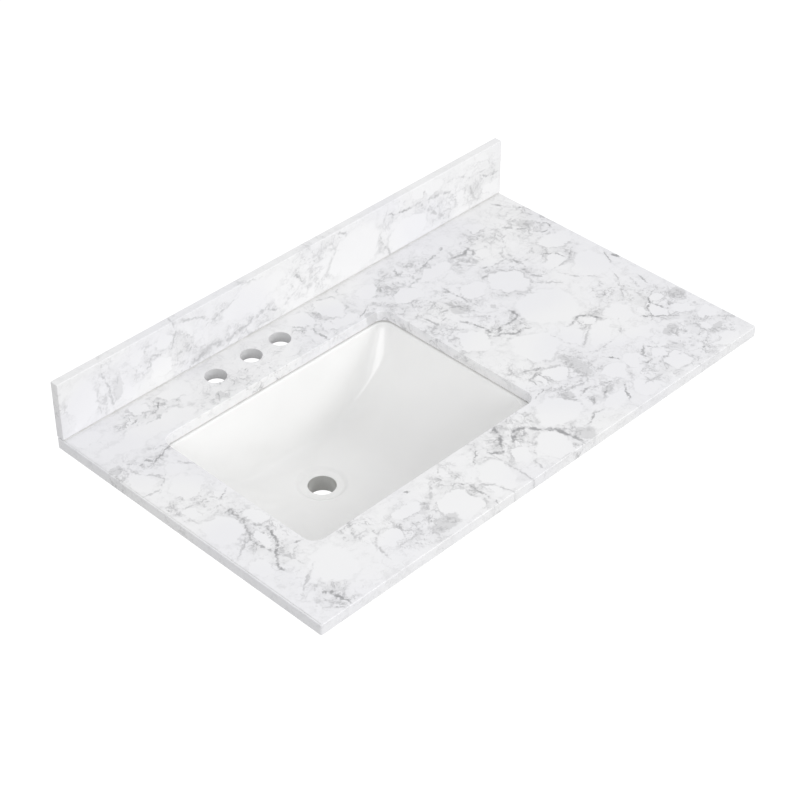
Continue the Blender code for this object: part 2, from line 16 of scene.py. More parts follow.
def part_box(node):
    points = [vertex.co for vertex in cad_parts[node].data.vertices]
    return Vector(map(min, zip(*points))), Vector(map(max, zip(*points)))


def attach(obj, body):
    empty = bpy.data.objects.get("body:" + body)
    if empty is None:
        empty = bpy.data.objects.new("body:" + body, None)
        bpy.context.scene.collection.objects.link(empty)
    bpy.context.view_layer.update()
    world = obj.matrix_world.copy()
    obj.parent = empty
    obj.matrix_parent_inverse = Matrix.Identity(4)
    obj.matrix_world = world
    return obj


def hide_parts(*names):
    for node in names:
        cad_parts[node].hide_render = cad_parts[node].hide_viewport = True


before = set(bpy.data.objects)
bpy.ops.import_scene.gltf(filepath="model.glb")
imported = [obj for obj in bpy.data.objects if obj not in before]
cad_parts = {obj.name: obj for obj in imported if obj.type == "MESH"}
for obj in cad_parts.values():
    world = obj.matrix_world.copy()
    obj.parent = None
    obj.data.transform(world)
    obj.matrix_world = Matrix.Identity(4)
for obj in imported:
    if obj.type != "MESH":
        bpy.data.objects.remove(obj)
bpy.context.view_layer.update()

bl_info = {
    "name": "Vanity Sink Top",
    "version": (1, 0, 0),
    "blender": (4, 5, 0),
    "location": "3D View > Sidebar > Vanity",
    "description": "Makes a marble vanity top with an undermounted china basin",
    "category": "Object",
}

# Places taken from the frame
slab_low, slab_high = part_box("countertop_slab")
splash_low, splash_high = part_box("backsplash")
bed_low, bed_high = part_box("backsplash_adhesive")
basin_low, basin_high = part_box("basin")
bead_low, bead_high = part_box("basin_sealant")
clip_names = ("rear_left", "rear_right", "front_left", "front_right", "left_end", "right_end")
clip_turns = (90, 90, -90, -90, 180, 0)

# Fits and cuts
clearance = 0.0003
cut_overrun = 0.004
mesh_tolerance = 0.00002
cut_tolerance = 0.000002
sharp_angle = math.radians(32)
mm_in_metre = 1000

# How squarely a face has to point one way to count: dead straight, mostly, or half
facing_straight = 0.99
facing_mostly = 0.9
facing_half = 0.5

# Countertop slab
slab_corner_radius = 0.003
cutout_corner_radius = 0.020
faucet_hole_diameter = 0.035
faucet_row_from_cutout = 0.0565
faucet_left_pitch = 0.0725
faucet_right_pitch = 0.060
anchor_cover = 0.006

# Basin flange and rim
flange_overlap = 0.024
flange_thickness = 0.013
flange_corner_radius = 0.030
flange_edge_radius = 0.003
bowl_reveal = 0.0005
rim_round = 0.003
china_wall = 0.009

# Bowl, with its corner radii in the order rear right, rear left, front left, front right
bowl_depth = 0.1455
bowl_corner_radii = (0.020, 0.020, 0.045, 0.045)
end_wall_inset = 0.053
rear_wall_inset = 0.014
front_wall_inset = 0.030
foot_corner_radii = (0.085, 0.085, 0.090, 0.090)
end_blend = 0.125
rear_blend = 0.030
front_blend = 0.042
flange_fillet = 0.006
floor_slope_share = 0.11
blend_limit_share = 0.92

# Drain and overflow
drain_from_cutout = 0.0955
drain_hole_diameter = 0.0445
drain_bore_stock = 0.0015
recess_diameter = 0.086
recess_depth = 0.004
recess_slope_share = 0.5
boss_diameter = 0.076
boss_edge_radius = 0.003
overflow_width = 0.030
overflow_height = 0.012
overflow_below_rim = 0.036
channel_width = 0.034
channel_depth = 0.010
channel_top_margin = 0.005
channel_skin = 0.006
channel_corner_radius = 0.0035
hump_corner_radius = 0.009

# Fasteners
stud_diameter = 0.006
anchor_floor = 0.002
anchor_spline_share = 1 / 14
clip_width = 0.022
clip_gauge = 0.0025
clip_bend_share = 1.4
clip_slot_length = 0.012
clip_slot_play = 0.0006
nut_base_diameter = 0.013
nut_top_diameter = 0.0105
nut_height = 0.009
wing_thickness = 0.0025
wing_height = 0.013
wing_tip_radius = 0.004

# The anchor's groove, as shares of its height and depths in splines, and one tooth of a thread,
# as shares of its depth and of its pitch
anchor_groove = ((0.45, 0), (0.48, 2), (0.55, 2), (0.58, 0))
thread_tooth = ((0, -0.5), (0, -0.4), (1, -0.08), (1, 0.08), (0, 0.4), (0, 0.5))
thread_depth_share = 0.61

# How finely round shapes are divided
corner_steps = 18
side_steps = (26, 18)
round_steps = 6
arris_steps = 4
hole_arris_steps = 2
worn_edge_steps = 3
cast_smoothing_rounds = 3
wall_steps = 12
blend_steps = 18
floor_steps = 9
recess_steps = 18
channel_steps = 36
section_steps = 6
hole_sides = 96
fastener_sides = 40
turned_sides = 80
thread_sides = 20

# Places worked out from the sizes above
cutout_low = Vector((basin_low.x + flange_overlap, basin_low.y + flange_overlap, 0))
cutout_high = Vector((basin_high.x - flange_overlap, basin_high.y - flange_overlap, 0))
bowl_centre_x = (cutout_low.x + cutout_high.x) / 2
faucet_row_y = cutout_high.y + faucet_row_from_cutout
drain_place = Vector((bowl_centre_x, cutout_high.y - drain_from_cutout))
sideways = Vector((1, 0, 0))
rim_top = basin_high.z
flange_underside = rim_top - flange_thickness
recess_top = rim_top - bowl_depth
drain_top = recess_top - recess_depth
boss_bottom = basin_low.z

# Sizes in the marble's pattern, in mm
broad_bend = 60
loose_bend = 34
fine_bend = 13
curl_bend = 12
break_size = 12
gap_size = 24
web_size = 21
hair_size = 12
cell_size = 30
crack_half_width = 2.6
mottle_size = 22
haze_size = 50
tint_size = 180

# Drawn veins: how far they lap, how far dark, grey and faint ones reach, and a far distance
vein_lap_share = 0.66
vein_reaches = (1.3, 2.4, 3.2)
far_from_ovals = 9
splash_vein_weight = 0.62

# How far apart the cut stone's score lines are, and how large each finish's grain and drift are.
# The finest are drawn somewhat coarser than they are, so that a render can show them.
saw_spacing = 0.022
drill_spacing = 0.02
cut_grit = 0.0016
polish_grain = 0.0012
glaze_wave = 0.045
glaze_peel = 0.006
glaze_pool = 0.12
bare_grain = 0.0014
bare_stain = 0.03
silicone_ripple = 0.004
silicone_cloud = 0.012
metal_cloud = 0.009
zinc_grain = 0.0005
lathe_grain = 0.0008

# Settings that many nodes share
times = {"operation": "MULTIPLY"}
plus = {"operation": "ADD"}
times_and_plus = {"operation": "MULTIPLY_ADD"}
larger = {"operation": "MAXIMUM"}
smoothly = {"interpolation_type": "SMOOTHSTEP"}

# Camera, and the lamps' places, widths and heights
camera_place = (-1.8542176, -2.0539024, 2.0134545)
camera_right = (0.7032097, -0.7109825, 0.0002018)
camera_up = (0.4399086, 0.4353222, 0.7854775)
camera_back = (-0.5585486, -0.5522667, 0.6188901)
camera_lens_mm = 97.0425
camera_film_mm = 36
camera_reach = 50
lamp_target = (0, -0.2, 0)
right_lamp = ((4.0, -4.6, 3.4), 2.4, 2.4)
left_lamp = ((-1.7, -2.5, 1.25), 1.7, 1.0)
low_lamp = ((-0.3, -3.4, 0.8), 2.4, 1.2)
left_strip = ((-2.01, -2.11, 1.24), 2.9, 0.3)
front_strip = ((0.72, -2.72, 1.36), 3.75, 0.1)
floor_half_width = 12

# Clear islands in the marble, in mm: centre x and y, half length, half width, turn in degrees
slab_islands = (
    (277, -272, 55, 48, 0), (186, -329, 38, 39, 0), (129, -254, 29, 27, 0), (288, -184, 29, 38, 0),
    (418, -244, 36, 32, 20), (435, -156, 32, 24, 15), (383, -194, 24, 18, 0), (155, -89, 34, 20, 0),
    (233, -159, 26, 21, 10), (227, -76, 38, 15, 0), (318, -98, 18, 15, 0), (358, -34, 16, 18, 0),
    (108, -39, 18, 19, 0), (300, -28, 14, 19, 0), (248, -349, 19, 24, 0), (288, -378, 39, 16, 25),
    (294, -346, 15, 12, 0), (158, -395, 19, 21, 0), (130, -391, 8, 16, -20), (93, -459, 40, 31, 0),
    (228, -461, 16, 22, 0), (265, -456, 20, 16, 20), (305, -469, 12, 16, 0), (393, -399, 12, 20, 0),
    (415, -376, 12, 11, 0), (371, -391, 9, 11, 0), (428, -424, 16, 14, 0), (333, -420, 25, 15, 0),
    (349, -361, 20, 21, 0), (230, -514, 18, 21, 0), (174, -506, 28, 18, 0), (314, -506, 22, 20, 0),
    (448, -461, 20, 16, 15), (418, -478, 7, 12, 0), (418, -525, 31, 11, 0), (30, -504, 30, 32, 0),
    (-17, -488, 16, 18, 0), (-81, -498, 29, 36, 0), (-162, -502, 29, 30, 0),
    (-226, -456, 26, 16, 0), (-373, -461, 36, 39, 0), (-282, -481, 21, 16, 20),
    (-106, -514, 10, 18, 0), (-447, -148, 20, 24, 0), (-409, -198, 24, 26, 0),
    (-437, -304, 31, 32, 0), (-409, -358, 8, 24, 0), (-381, -314, 14, 25, 0),
    (-397, -154, 18, 16, 0), (-451, -401, 16, 19, 0), (-442, -248, 10, 15, 0),
    (-367, -64, 94, 21, 0), (-276, -19, 28, 20, 0), (-339, -14, 16, 11, 0), (-442, -15, 25, 14, 0),
    (-25, -21, 24, 21, 0), (39, -29, 25, 28, 0), (21, -69, 38, 15, 0),
)

# Where the veins gather
slab_clusters = (
    (189, -250, 41, 44, 0), (412, -395, 45, 50, 0), (166, -422, 60, 60, 0), (303, -345, 38, 24, 0),
    (285, -181, 41, 44, 0), (336, -172, 18, 47, 0), (403, -177, 36, 35, 0), (186, -159, 47, 35, 0),
    (286, -84, 42, 24, 0), (439, -90, 42, 47, 0), (171, -54, 65, 33, 0), (-11, -450, 73, 38, 0),
    (-225, -490, 53, 44, 0), (-134, -472, 24, 58, 0), (-406, -350, 31, 71, -8),
    (-434, -240, 38, 29, 0), (-415, -504, 29, 31, 0), (-306, -430, 24, 24, 0),
    (-425, -113, 56, 18, 0), (-334, -33, 58, 24, 0), (-179, -72, 95, 24, 0), (3, -45, 55, 38, 0),
    (353, -486, 123, 44, 0), (130, -351, 33, 18, 0), (53, -504, 33, 45, 0), (112, -222, 27, 55, 0),
    (112, -113, 44, 38, 0), (352, -62, 34, 24, 0), (384, -318, 30, 26, 0), (300, -150, 24, 16, 0),
)

# Veins as runs of points in mm, each after the half width of its line: dark, grey and faint ones
slab_dark_veins = (
    (3, (155, -202), (165, -228), (168, -265), (193, -254), (205, -261), (229, -255), (229, -236)),
    (3, (163, -265), (175, -271), (190, -284), (215, -288)),
    (3, (265, -331), (283, -328), (294, -324), (305, -332), (318, -354)),
    (2, (363, -394), (375, -404), (388, -386), (400, -382), (410, -369), (430, -364)),
    (3, (-391, -354), (-397, -376), (-420, -397), (-431, -414), (-431, -422)),
    (5, (-404, -282), (-398, -282)), (2, (-406, -124), (-387, -118), (-368, -112)),
    (3, (-51, -454), (-36, -467), (-26, -451), (-11, -439), (-4, -420)),
    (4, (-4, -459), (11, -445), (30, -451), (43, -470), (58, -486), (64, -526)),
    (3, (275, -72), (290, -78), (308, -72), (311, -82)), (4, (330, -176), (329, -186)),
    (2, (428, -118), (433, -125), (441, -128)), (2, (455, -108), (459, -118), (454, -125)),
    (3, (435, -10), (443, -21)), (4, (464, -252), (466, -260)), (3, (130, -361), (150, -370)),
    (2, (243, -424), (253, -439)), (2, (-325, -32), (-314, -25)), (3, (-200, -428), (-196, -431)),
    (3, (-423, -495), (-417, -495), (-412, -529)), (2, (190, -514), (213, -486)),
)

slab_grey_veins = (
    (1.5, (403, -384), (408, -409), (415, -414), (420, -404)),
    (1.5, (375, -404), (393, -422), (403, -431)),
    (2, (-401, -289), (-401, -309), (-412, -331), (-420, -343), (-421, -362), (-416, -381)),
    (2.5, (-395, -328), (-387, -341), (-391, -358)),
    (1.5, (-403, -391), (-387, -389), (-376, -395)), (2, (-468, -112), (-457, -106)),
    (2, (-439, -120), (-418, -112), (-407, -116)),
    (2, (-147, -442), (-136, -464), (-123, -479), (-125, -508), (-123, -532)),
    (1.5, (-82, -452), (-61, -436), (-54, -426)), (1.5, (-7, -461), (8, -464), (18, -458)),
    (2, (118, -62), (130, -48), (145, -42), (173, -42), (180, -32)),
    (2, (215, -55), (228, -55), (243, -48), (265, -44), (278, -40)),
    (2, (311, -82), (303, -90), (303, -105)), (1.5, (223, -99), (235, -98)),
    (2, (268, -145), (273, -146)), (2, (288, -128), (300, -138)), (2, (305, -152), (318, -165)),
    (2, (338, -150), (338, -168), (333, -179)), (2.5, (328, -199), (333, -206)),
    (1.5, (395, -68), (408, -88), (418, -98)), (1.5, (443, -42), (453, -50)),
    (2, (460, -48), (465, -50)), (1.5, (385, -170), (398, -180), (408, -205), (430, -192)),
    (1.5, (448, -258), (458, -240)), (2, (158, -165), (178, -168), (190, -195)),
    (1.5, (200, -130), (203, -180)), (1.5, (120, -158), (123, -182), (140, -180)),
    (1.5, (98, -414), (115, -409)), (1.5, (115, -404), (120, -381), (140, -374), (138, -399)),
    (2, (303, -449), (288, -461), (290, -479), (275, -476)), (1.5, (310, -454), (318, -464)),
    (2, (143, -459), (158, -454), (173, -461)), (2, (143, -484), (150, -476)),
    (2, (170, -484), (185, -474)), (1.5, (193, -461), (203, -471)),
    (1.5, (105, -509), (125, -501), (138, -504)), (1.5, (335, -501), (355, -509), (375, -514)),
    (1.5, (353, -311), (365, -319), (378, -301)), (1.5, (418, -299), (425, -286)),
    (1.5, (443, -336), (448, -321)), (3, (-311, -436), (-302, -420)),
    (1.5, (-441, -520), (-428, -531)), (1.5, (-376, -38), (-362, -32)),
    (1.5, (-334, -39), (-314, -24)), (2, (-23, -51), (-24, -94)), (1.5, (56, -81), (75, -71)),
    (1.5, (-389, -251), (-374, -243)), (1.5, (-241, -82), (-234, -70)),
)

slab_faint_veins = (
    (1.5, (213, -371), (225, -389), (248, -404), (278, -404), (308, -399), (319, -389),
     (330, -376)), (1.5, (228, -334), (229, -354), (238, -379), (248, -376), (278, -359)),
    (1.5, (-449, -358), (-422, -343)), (1.5, (-399, -397), (-407, -414), (-403, -426)),
    (1.5, (-439, -126), (-425, -147), (-421, -159)),
    (1.5, (-459, -174), (-437, -176), (-420, -162)),
    (1.5, (-381, -143), (-378, -156), (-370, -164)), (1.5, (-453, -249), (-451, -266)),
    (2, (-422, -231), (-418, -247)), (1.5, (-406, -232), (-397, -243)),
    (1.5, (-407, -452), (-439, -473)), (1.5, (-329, -448), (-301, -445)),
    (1.5, (-289, -448), (-289, -464), (-307, -479), (-311, -501)), (2, (-164, -443), (-182, -461)),
    (1.5, (-111, -492), (-98, -508), (-91, -532)),
    (1.5, (-1, -467), (2, -495), (-17, -514), (-23, -532)), (1.5, (-51, -473), (-50, -532)),
    (1.5, (160, -58), (165, -78), (185, -75)), (1.5, (260, -88), (273, -100), (280, -108)),
    (1.5, (305, -135), (328, -135), (335, -120), (358, -108), (370, -92), (390, -88)),
    (1.5, (323, -220), (343, -242)), (1.5, (368, -232), (378, -252), (393, -268)),
    (1.5, (370, -210), (403, -210)), (1.5, (110, -215), (128, -212), (143, -218)),
    (1.5, (248, -190), (258, -208), (283, -225), (303, -222)),
    (1.5, (153, -376), (173, -384), (178, -389)), (1.5, (248, -496), (245, -509), (268, -511)),
    (1.5, (430, -319), (425, -336)), (1.5, (8, -14), (9, -48)), (1.5, (30, 0), (64, -14), (80, -2)),
    (1.5, (-45, -20), (-25, -45)), (1.5, (-36, -486), (-26, -470)),
)

# Translucent grey patches, as the islands
slab_patches = (
    (196, -404, 16, 38, 0), (130, -444, 11, 14, 0), (184, -478, 14, 9, 20), (368, -449, 19, 10, 15),
    (425, -496, 18, 8, 15), (453, -394, 18, 15, 0), (-207, -515, 29, 15, 0),
    (-457, -101, 12, 10, 0), (178, -180, 18, 14, 0), (-235, -76, 11, 10, 0), (81, -521, 20, 16, 0),
    (430, -89, 19, 14, -40), (68, -89, 12, 9, 0), (220, -210, 6, 8, 0),
)

# The backsplash's own islands, clusters, veins and patches, in x and height
splash_islands = (
    (-429, 69, 28, 47, 0), (-95, 90, 68, 25, 10), (130, 66, 58, 45, 0), (249, 51, 50, 25, -8),
    (286, 111, 38, 10, 0), (-279, 53, 21, 20, 0), (-323, 96, 18, 12, 0), (-273, 100, 18, 14, 0),
    (449, 41, 19, 15, 0), (424, 109, 15, 10, 0), (-342, 41, 12, 16, 0),
)

splash_clusters = (
    (-384, 72, 23, 50, 0), (-293, 81, 50, 27, 0), (-243, 67, 27, 50, 0), (-197, 40, 41, 18, 0),
    (-156, 95, 27, 11, 0), (-106, 40, 64, 18, 0), (-43, 40, 36, 18, 0), (-6, 77, 18, 27, 0),
    (-466, 70, 12, 30, 0), (36, 77, 55, 50, 0), (98, 113, 18, 10, 0), (186, 63, 18, 30, 0),
    (223, 95, 32, 14, 0), (309, 86, 50, 22, 0), (336, 54, 41, 27, 0), (409, 63, 50, 40, 0),
)

splash_dark_veins = (
    (3, (-4, 85), (8, 69)), (3, (93, 116), (104, 110)), (2.5, (-64, 49), (-45, 40)),
    (2, (424, 74), (436, 69), (464, 66)), (2, (202, 101), (218, 93), (246, 90)),
)

splash_grey_veins = (
    (2, (-392, 104), (-382, 79), (-376, 48), (-373, 23)),
    (1.5, (-336, 85), (-320, 63), (-301, 66), (-298, 85), (-282, 76), (-257, 79), (-248, 104),
     (-251, 123)), (2, (-232, 116), (-201, 104), (-176, 88), (-139, 98)),
    (1.5, (-245, 60), (-220, 66), (-229, 41)),
    (4, (-226, 26), (-189, 41), (-145, 35), (-107, 44), (-70, 54)),
    (2, (186, 73), (183, 57), (196, 41), (205, 23)),
    (2.5, (243, 91), (280, 88), (324, 85), (343, 79)),
    (3, (277, 85), (299, 63), (318, 48), (336, 29)), (2, (343, 79), (355, 66), (361, 51)),
    (3, (393, 66), (405, 41)), (2, (374, 94), (393, 85), (418, 85)),
)

splash_faint_veins = (
    (1.5, (193, 98), (180, 66)), (2, (-32, 41), (5, 60), (43, 66)),
    (2, (24, 98), (55, 104), (80, 91)), (1.5, (-401, 73), (-398, 29)),
    (1.5, (-120, 123), (-82, 116)),
)

splash_patches = (
    (311, 88, 19, 6, 0), (405, 60, 19, 14, 0), (-201, 35, 25, 9, 10), (-364, 60, 12, 25, 0),
)

slab_drawing = (
    slab_islands,
    slab_clusters,
    slab_dark_veins,
    slab_grey_veins,
    slab_faint_veins,
    slab_patches,
)
splash_drawing = (
    splash_islands,
    splash_clusters,
    splash_dark_veins,
    splash_grey_veins,
    splash_faint_veins,
    splash_patches,
)


def colour(code):
    """Turn an sRGB hex colour into the linear one that Blender works in."""
    values = [int(code[start : start + 2], 16) / 255 for start in (1, 3, 5)]
    linear = [v / 12.92 if v <= 0.04045 else ((v + 0.055) / 1.055) ** 2.4 for v in values]
    return (*linear, 1)


def add_object(name, shape, finishes):
    """Turn a bmesh into an object with its faces pointing out."""
    bmesh.ops.remove_doubles(shape, verts=shape.verts, dist=mesh_tolerance)
    bmesh.ops.recalc_face_normals(shape, faces=shape.faces)
    mesh = bpy.data.meshes.new(name)
    shape.to_mesh(mesh)
    shape.free()
    made = bpy.data.objects.new(name, mesh)
    for finish in finishes:
        mesh.materials.append(finish)
    bpy.context.scene.collection.objects.link(made)
    soften(mesh)
    return made


def add_piece(name, shape, finishes, nodes):
    """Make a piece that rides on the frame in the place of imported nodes."""
    piece = add_object(name, shape, finishes)
    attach(piece, "root")
    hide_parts(*nodes)
    return piece


def soften(mesh):
    """Shade a mesh smooth, apart from its sharp edges."""
    mesh.shade_smooth()
    mesh.set_sharp_from_angle(angle=sharp_angle)


def settle(piece):
    """Work a piece's modifiers into its mesh."""
    bpy.context.view_layer.update()
    graph = bpy.context.evaluated_depsgraph_get()
    mesh = bpy.data.meshes.new_from_object(piece.evaluated_get(graph))
    old = piece.data
    piece.modifiers.clear()
    piece.data = mesh
    bpy.data.meshes.remove(old)
    mesh.name = piece.name
    soften(mesh)


def carve(piece, shape, operation="DIFFERENCE"):
    """Cut a shape out of a piece, or join it to the piece."""
    tool = add_object("carving_tool", shape, [])
    step = piece.modifiers.new("carving", "BOOLEAN")
    step.operation = operation
    step.solver = "EXACT"
    step.object = tool
    settle(piece)
    bpy.data.objects.remove(tool, do_unlink=True)


def ease_edges(piece, width, segments):
    """Round the sharp edges of a piece."""
    step = piece.modifiers.new("eased_edges", "BEVEL")
    step.width = width
    step.segments = segments
    step.limit_method = "ANGLE"
    step.angle_limit = sharp_angle
    step.use_clamp_overlap = False
    settle(piece)


def even_shading(piece):
    """Keep flat faces flat to the eye beside their eased edges."""
    step = piece.modifiers.new("even_shading", "WEIGHTED_NORMAL")
    step.keep_sharp = True


def add_block(shape, low, high):
    """Add a block between two corners to a bmesh."""
    size = Vector(high) - Vector(low)
    centre = (Vector(high) + Vector(low)) / 2
    matrix = Matrix.Translation(centre) @ Matrix.Diagonal((*size, 1))
    bmesh.ops.create_cube(shape, size=1, matrix=matrix)


def round_off(shape, geom, radius, affect, segments):
    """Round edges or corners of a bmesh."""
    settings = {"affect": affect, "segments": segments, "profile": 0.5, "material": -1}
    bmesh.ops.bevel(shape, geom=geom, offset=radius, **settings)


def rounded_block(low, high, radius):
    """A block whose upright edges are rounded."""
    shape = bmesh.new()
    add_block(shape, low, high)
    upright = [edge for edge in shape.edges if edge.verts[0].co.xy == edge.verts[1].co.xy]
    round_off(shape, upright, radius, "EDGES", corner_steps)
    return shape


def add_cylinder(shape, x, y, diameter, low, high, sides=hole_sides, top_diameter=None):
    """Add an upright cylinder or cone between two heights to a bmesh."""
    bmesh.ops.create_cone(
        shape,
        cap_ends=True,
        segments=sides,
        radius1=diameter / 2,
        radius2=(top_diameter or diameter) / 2,
        depth=high - low,
        matrix=Matrix.Translation((x, y, (low + high) / 2)),
    )


def draw_ring(shape, points):
    """Add vertices at a row of points to a bmesh, with edges that join them into a ring."""
    ring = [shape.verts.new(point) for point in points]
    for index in range(len(ring)):
        shape.edges.new((ring[index - 1], ring[index]))
    return ring


def spin_round(shape, turns, steps, rise):
    """Spin what a bmesh holds round the upright axis, closed unless it rises as it turns."""
    bmesh.ops.spin(
        shape,
        geom=shape.verts[:] + shape.edges[:],
        axis=(0, 0, 1),
        dvec=(0, 0, rise / steps),
        angle=math.tau * turns,
        steps=steps * turns,
        use_merge=rise == 0,
    )


def turned(profile):
    """Spin a closed profile of distances and heights once round the upright axis."""
    shape = bmesh.new()
    draw_ring(shape, [(distance, 0, height) for distance, height in profile])
    spin_round(shape, 1, turned_sides, 0)
    return shape


def rounded_outline(low, high, radii, steps=corner_steps, sides=side_steps):
    """Points and outward directions round a rectangle with rounded corners.

    The corners come in the order rear right, rear left, front left, front right, and every
    outline with the same steps has as many points, so that one can be lofted to another.
    """
    corners = (
        (high.x, high.y, -1, -1, 0),
        (low.x, high.y, 1, -1, 1),
        (low.x, low.y, 1, 1, 2),
        (high.x, low.y, -1, 1, 3),
    )
    arcs = []
    for (x, y, inward_x, inward_y, quarter), radius in zip(corners, radii):
        arc = []
        for step in range(steps + 1):
            angle = (quarter + step / steps) * math.pi / 2
            way = Vector((math.cos(angle), math.sin(angle)))
            point = Vector((x + inward_x * radius, y + inward_y * radius)) + way * radius
            arc.append((point, way))
        arcs.append(arc)
    outline = []
    for index, arc in enumerate(arcs):
        outline.extend(arc)
        start, way = arc[-1]
        end = arcs[(index + 1) % len(arcs)][0][0]
        parts = sides[index % 2]
        for step in range(1, parts):
            outline.append((start.lerp(end, step / parts), way))
    return outline


def grown_outline(low, high, radii, margin):
    """The same outline moved outward by a margin, or inward where that is negative."""
    step = Vector((margin, margin, 0))
    return rounded_outline(low - step, high + step, [radius + margin for radius in radii])


def ring_at(outline, height):
    """Lift a flat outline to a height."""
    return [Vector((point.x, point.y, height)) for point, way in outline]


def stacked(outline, places):
    """Rings of an outline, at a row of margins and heights."""
    return [ring_at(outline(margin), height) for margin, height in places]


def extrude_ring(shape, ring, points):
    """Extrude a loop of vertices, and move the new loop to the points given."""
    edges = [shape.edges.get((ring[index - 1], ring[index])) for index in range(len(ring))]
    made = bmesh.ops.extrude_edge_only(shape, edges=edges)["geom"]
    fresh = {item for item in made if isinstance(item, bmesh.types.BMVert)}
    following = []
    for corner, point in zip(ring, points):
        partners = [edge.other_vert(corner) for edge in corner.link_edges]
        partner = next(vert for vert in partners if vert in fresh)
        partner.co = point
        following.append(partner)
    return following


def loft(rings, closed):
    """Skin a row of rings, closed into a loop or capped at its two ends."""
    shape = bmesh.new()
    ring = first = draw_ring(shape, rings[0])
    for points in rings[1:]:
        ring = extrude_ring(shape, ring, points)
    if closed:
        ring = extrude_ring(shape, ring, rings[0])
        bmesh.ops.remove_doubles(shape, verts=first + ring, dist=mesh_tolerance)
    else:
        shape.faces.new(first)
        shape.faces.new(ring)
    return shape


def quarter_round(outer_margin, outer_height, inner_margin, inner_height, reverse=False):
    """Margins and heights along a quarter ellipse between an upright and a level edge."""
    places = []
    for step in range(round_steps + 1):
        angle = step / round_steps * math.pi / 2
        across = outer_margin + (inner_margin - outer_margin) * (1 - math.cos(angle))
        up = outer_height + (inner_height - outer_height) * math.sin(angle)
        places.append((across, up))
    return list(reversed(places)) if reverse else places


def faucet_places():
    """The three hole centres, the middle one on the bowl's centre line."""
    offsets = (-faucet_left_pitch, 0, faucet_right_pitch)
    return [(bowl_centre_x + offset, faucet_row_y) for offset in offsets]


def clip_places():
    """Each clip's name, its stud's axis, and its turn about that axis."""
    places = []
    for name, turn in zip(clip_names, clip_turns):
        low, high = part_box("stud_" + name)
        places.append((name, (low.x + high.x) / 2, (low.y + high.y) / 2, math.radians(turn)))
    return places


def cutout_outline(margin=0):
    """The outline of the basin cut-out, grown by a margin."""
    return grown_outline(cutout_low, cutout_high, [cutout_corner_radius] * 4, margin)


def flange_outline(margin=0):
    """The outline of the basin's flange, grown by a margin."""
    step = Vector((flange_overlap, flange_overlap, 0))
    low, high = cutout_low - step, cutout_high + step
    return grown_outline(low, high, [flange_corner_radius] * 4, margin)


def bowl_outline(margin=0):
    """The outline of the bowl's mouth, whose front corners are the rounder ones."""
    step = Vector((bowl_reveal, bowl_reveal, 0))
    return grown_outline(cutout_low + step, cutout_high - step, bowl_corner_radii, margin)


def foot_outline(margin=0):
    """The outline where the bowl's walls would meet its floor without the blend."""
    inner = bowl_reveal + rim_round
    low = cutout_low + Vector((inner + end_wall_inset, inner + front_wall_inset, 0))
    high = cutout_high - Vector((inner + end_wall_inset, inner + rear_wall_inset, 0))
    return grown_outline(low, high, foot_corner_radii, margin)


def blend_length(way):
    """How long the blend from wall to floor is on the side that faces a direction."""
    crosswise = rear_blend if way.y > 0 else front_blend
    return end_blend * way.x**2 + crosswise * way.y**2


def meridian(rim, foot, throat, blend):
    """Points down a wall, round the blend at its foot and along the floor."""
    wall = rim - foot
    floor = throat - foot
    start = foot + wall.normalized() * min(blend, wall.length * blend_limit_share)
    end = foot + floor.normalized() * min(blend, floor.length * blend_limit_share)
    points = [rim.lerp(start, step / wall_steps) for step in range(wall_steps)]
    for step in range(blend_steps):
        share = step / blend_steps
        points.append(start.lerp(foot, share).lerp(foot.lerp(end, share), share))
    points.extend(end.lerp(throat, step / floor_steps) for step in range(floor_steps + 1))
    return points


def bowl_surface(margin, top, throat_radius):
    """Rings from a height under the rim to the drain, a wall thickness out for the outside."""
    lines = []
    feet = [foot for foot, foot_way in foot_outline(margin)]
    for (rim, way), foot in zip(bowl_outline(margin - rim_round), feet):
        run = (foot - drain_place).length - recess_diameter / 2
        rise = floor_slope_share * run
        throat = drain_place + (foot - drain_place).normalized() * throat_radius
        start = Vector((rim.x, rim.y, top))
        turn = Vector((foot.x, foot.y, recess_top + rise - margin))
        end = Vector((throat.x, throat.y, recess_top - margin))
        lines.append(meridian(start, turn, end, blend_length(way)))
    return [list(ring) for ring in zip(*lines)]


def drain_ring(radius, height):
    """A ring round the drain whose points lie on the bowl's own meridians."""
    points = []
    for foot, way in foot_outline():
        place = drain_place + (foot - drain_place).normalized() * radius
        points.append(Vector((place.x, place.y, height)))
    return points


def recess_rings():
    """Rings down the dished recess that the drain's flange sits in."""
    outer = recess_diameter / 2
    inner = drain_hole_diameter / 2
    rings = []
    for step in range(1, recess_steps + 1):
        share = step / recess_steps
        fallen = min(1, share / recess_slope_share)
        fall = fallen * fallen * (3 - 2 * fallen)
        rings.append(drain_ring(outer + (inner - outer) * share, recess_top - recess_depth * fall))
    return rings


def outer_surface():
    """Rings down the outside of the bowl, from the flange's fillet to the drain's boss."""
    throat_radius = boss_diameter / 2 + boss_edge_radius
    return bowl_surface(china_wall, flange_underside - flange_fillet, throat_radius)


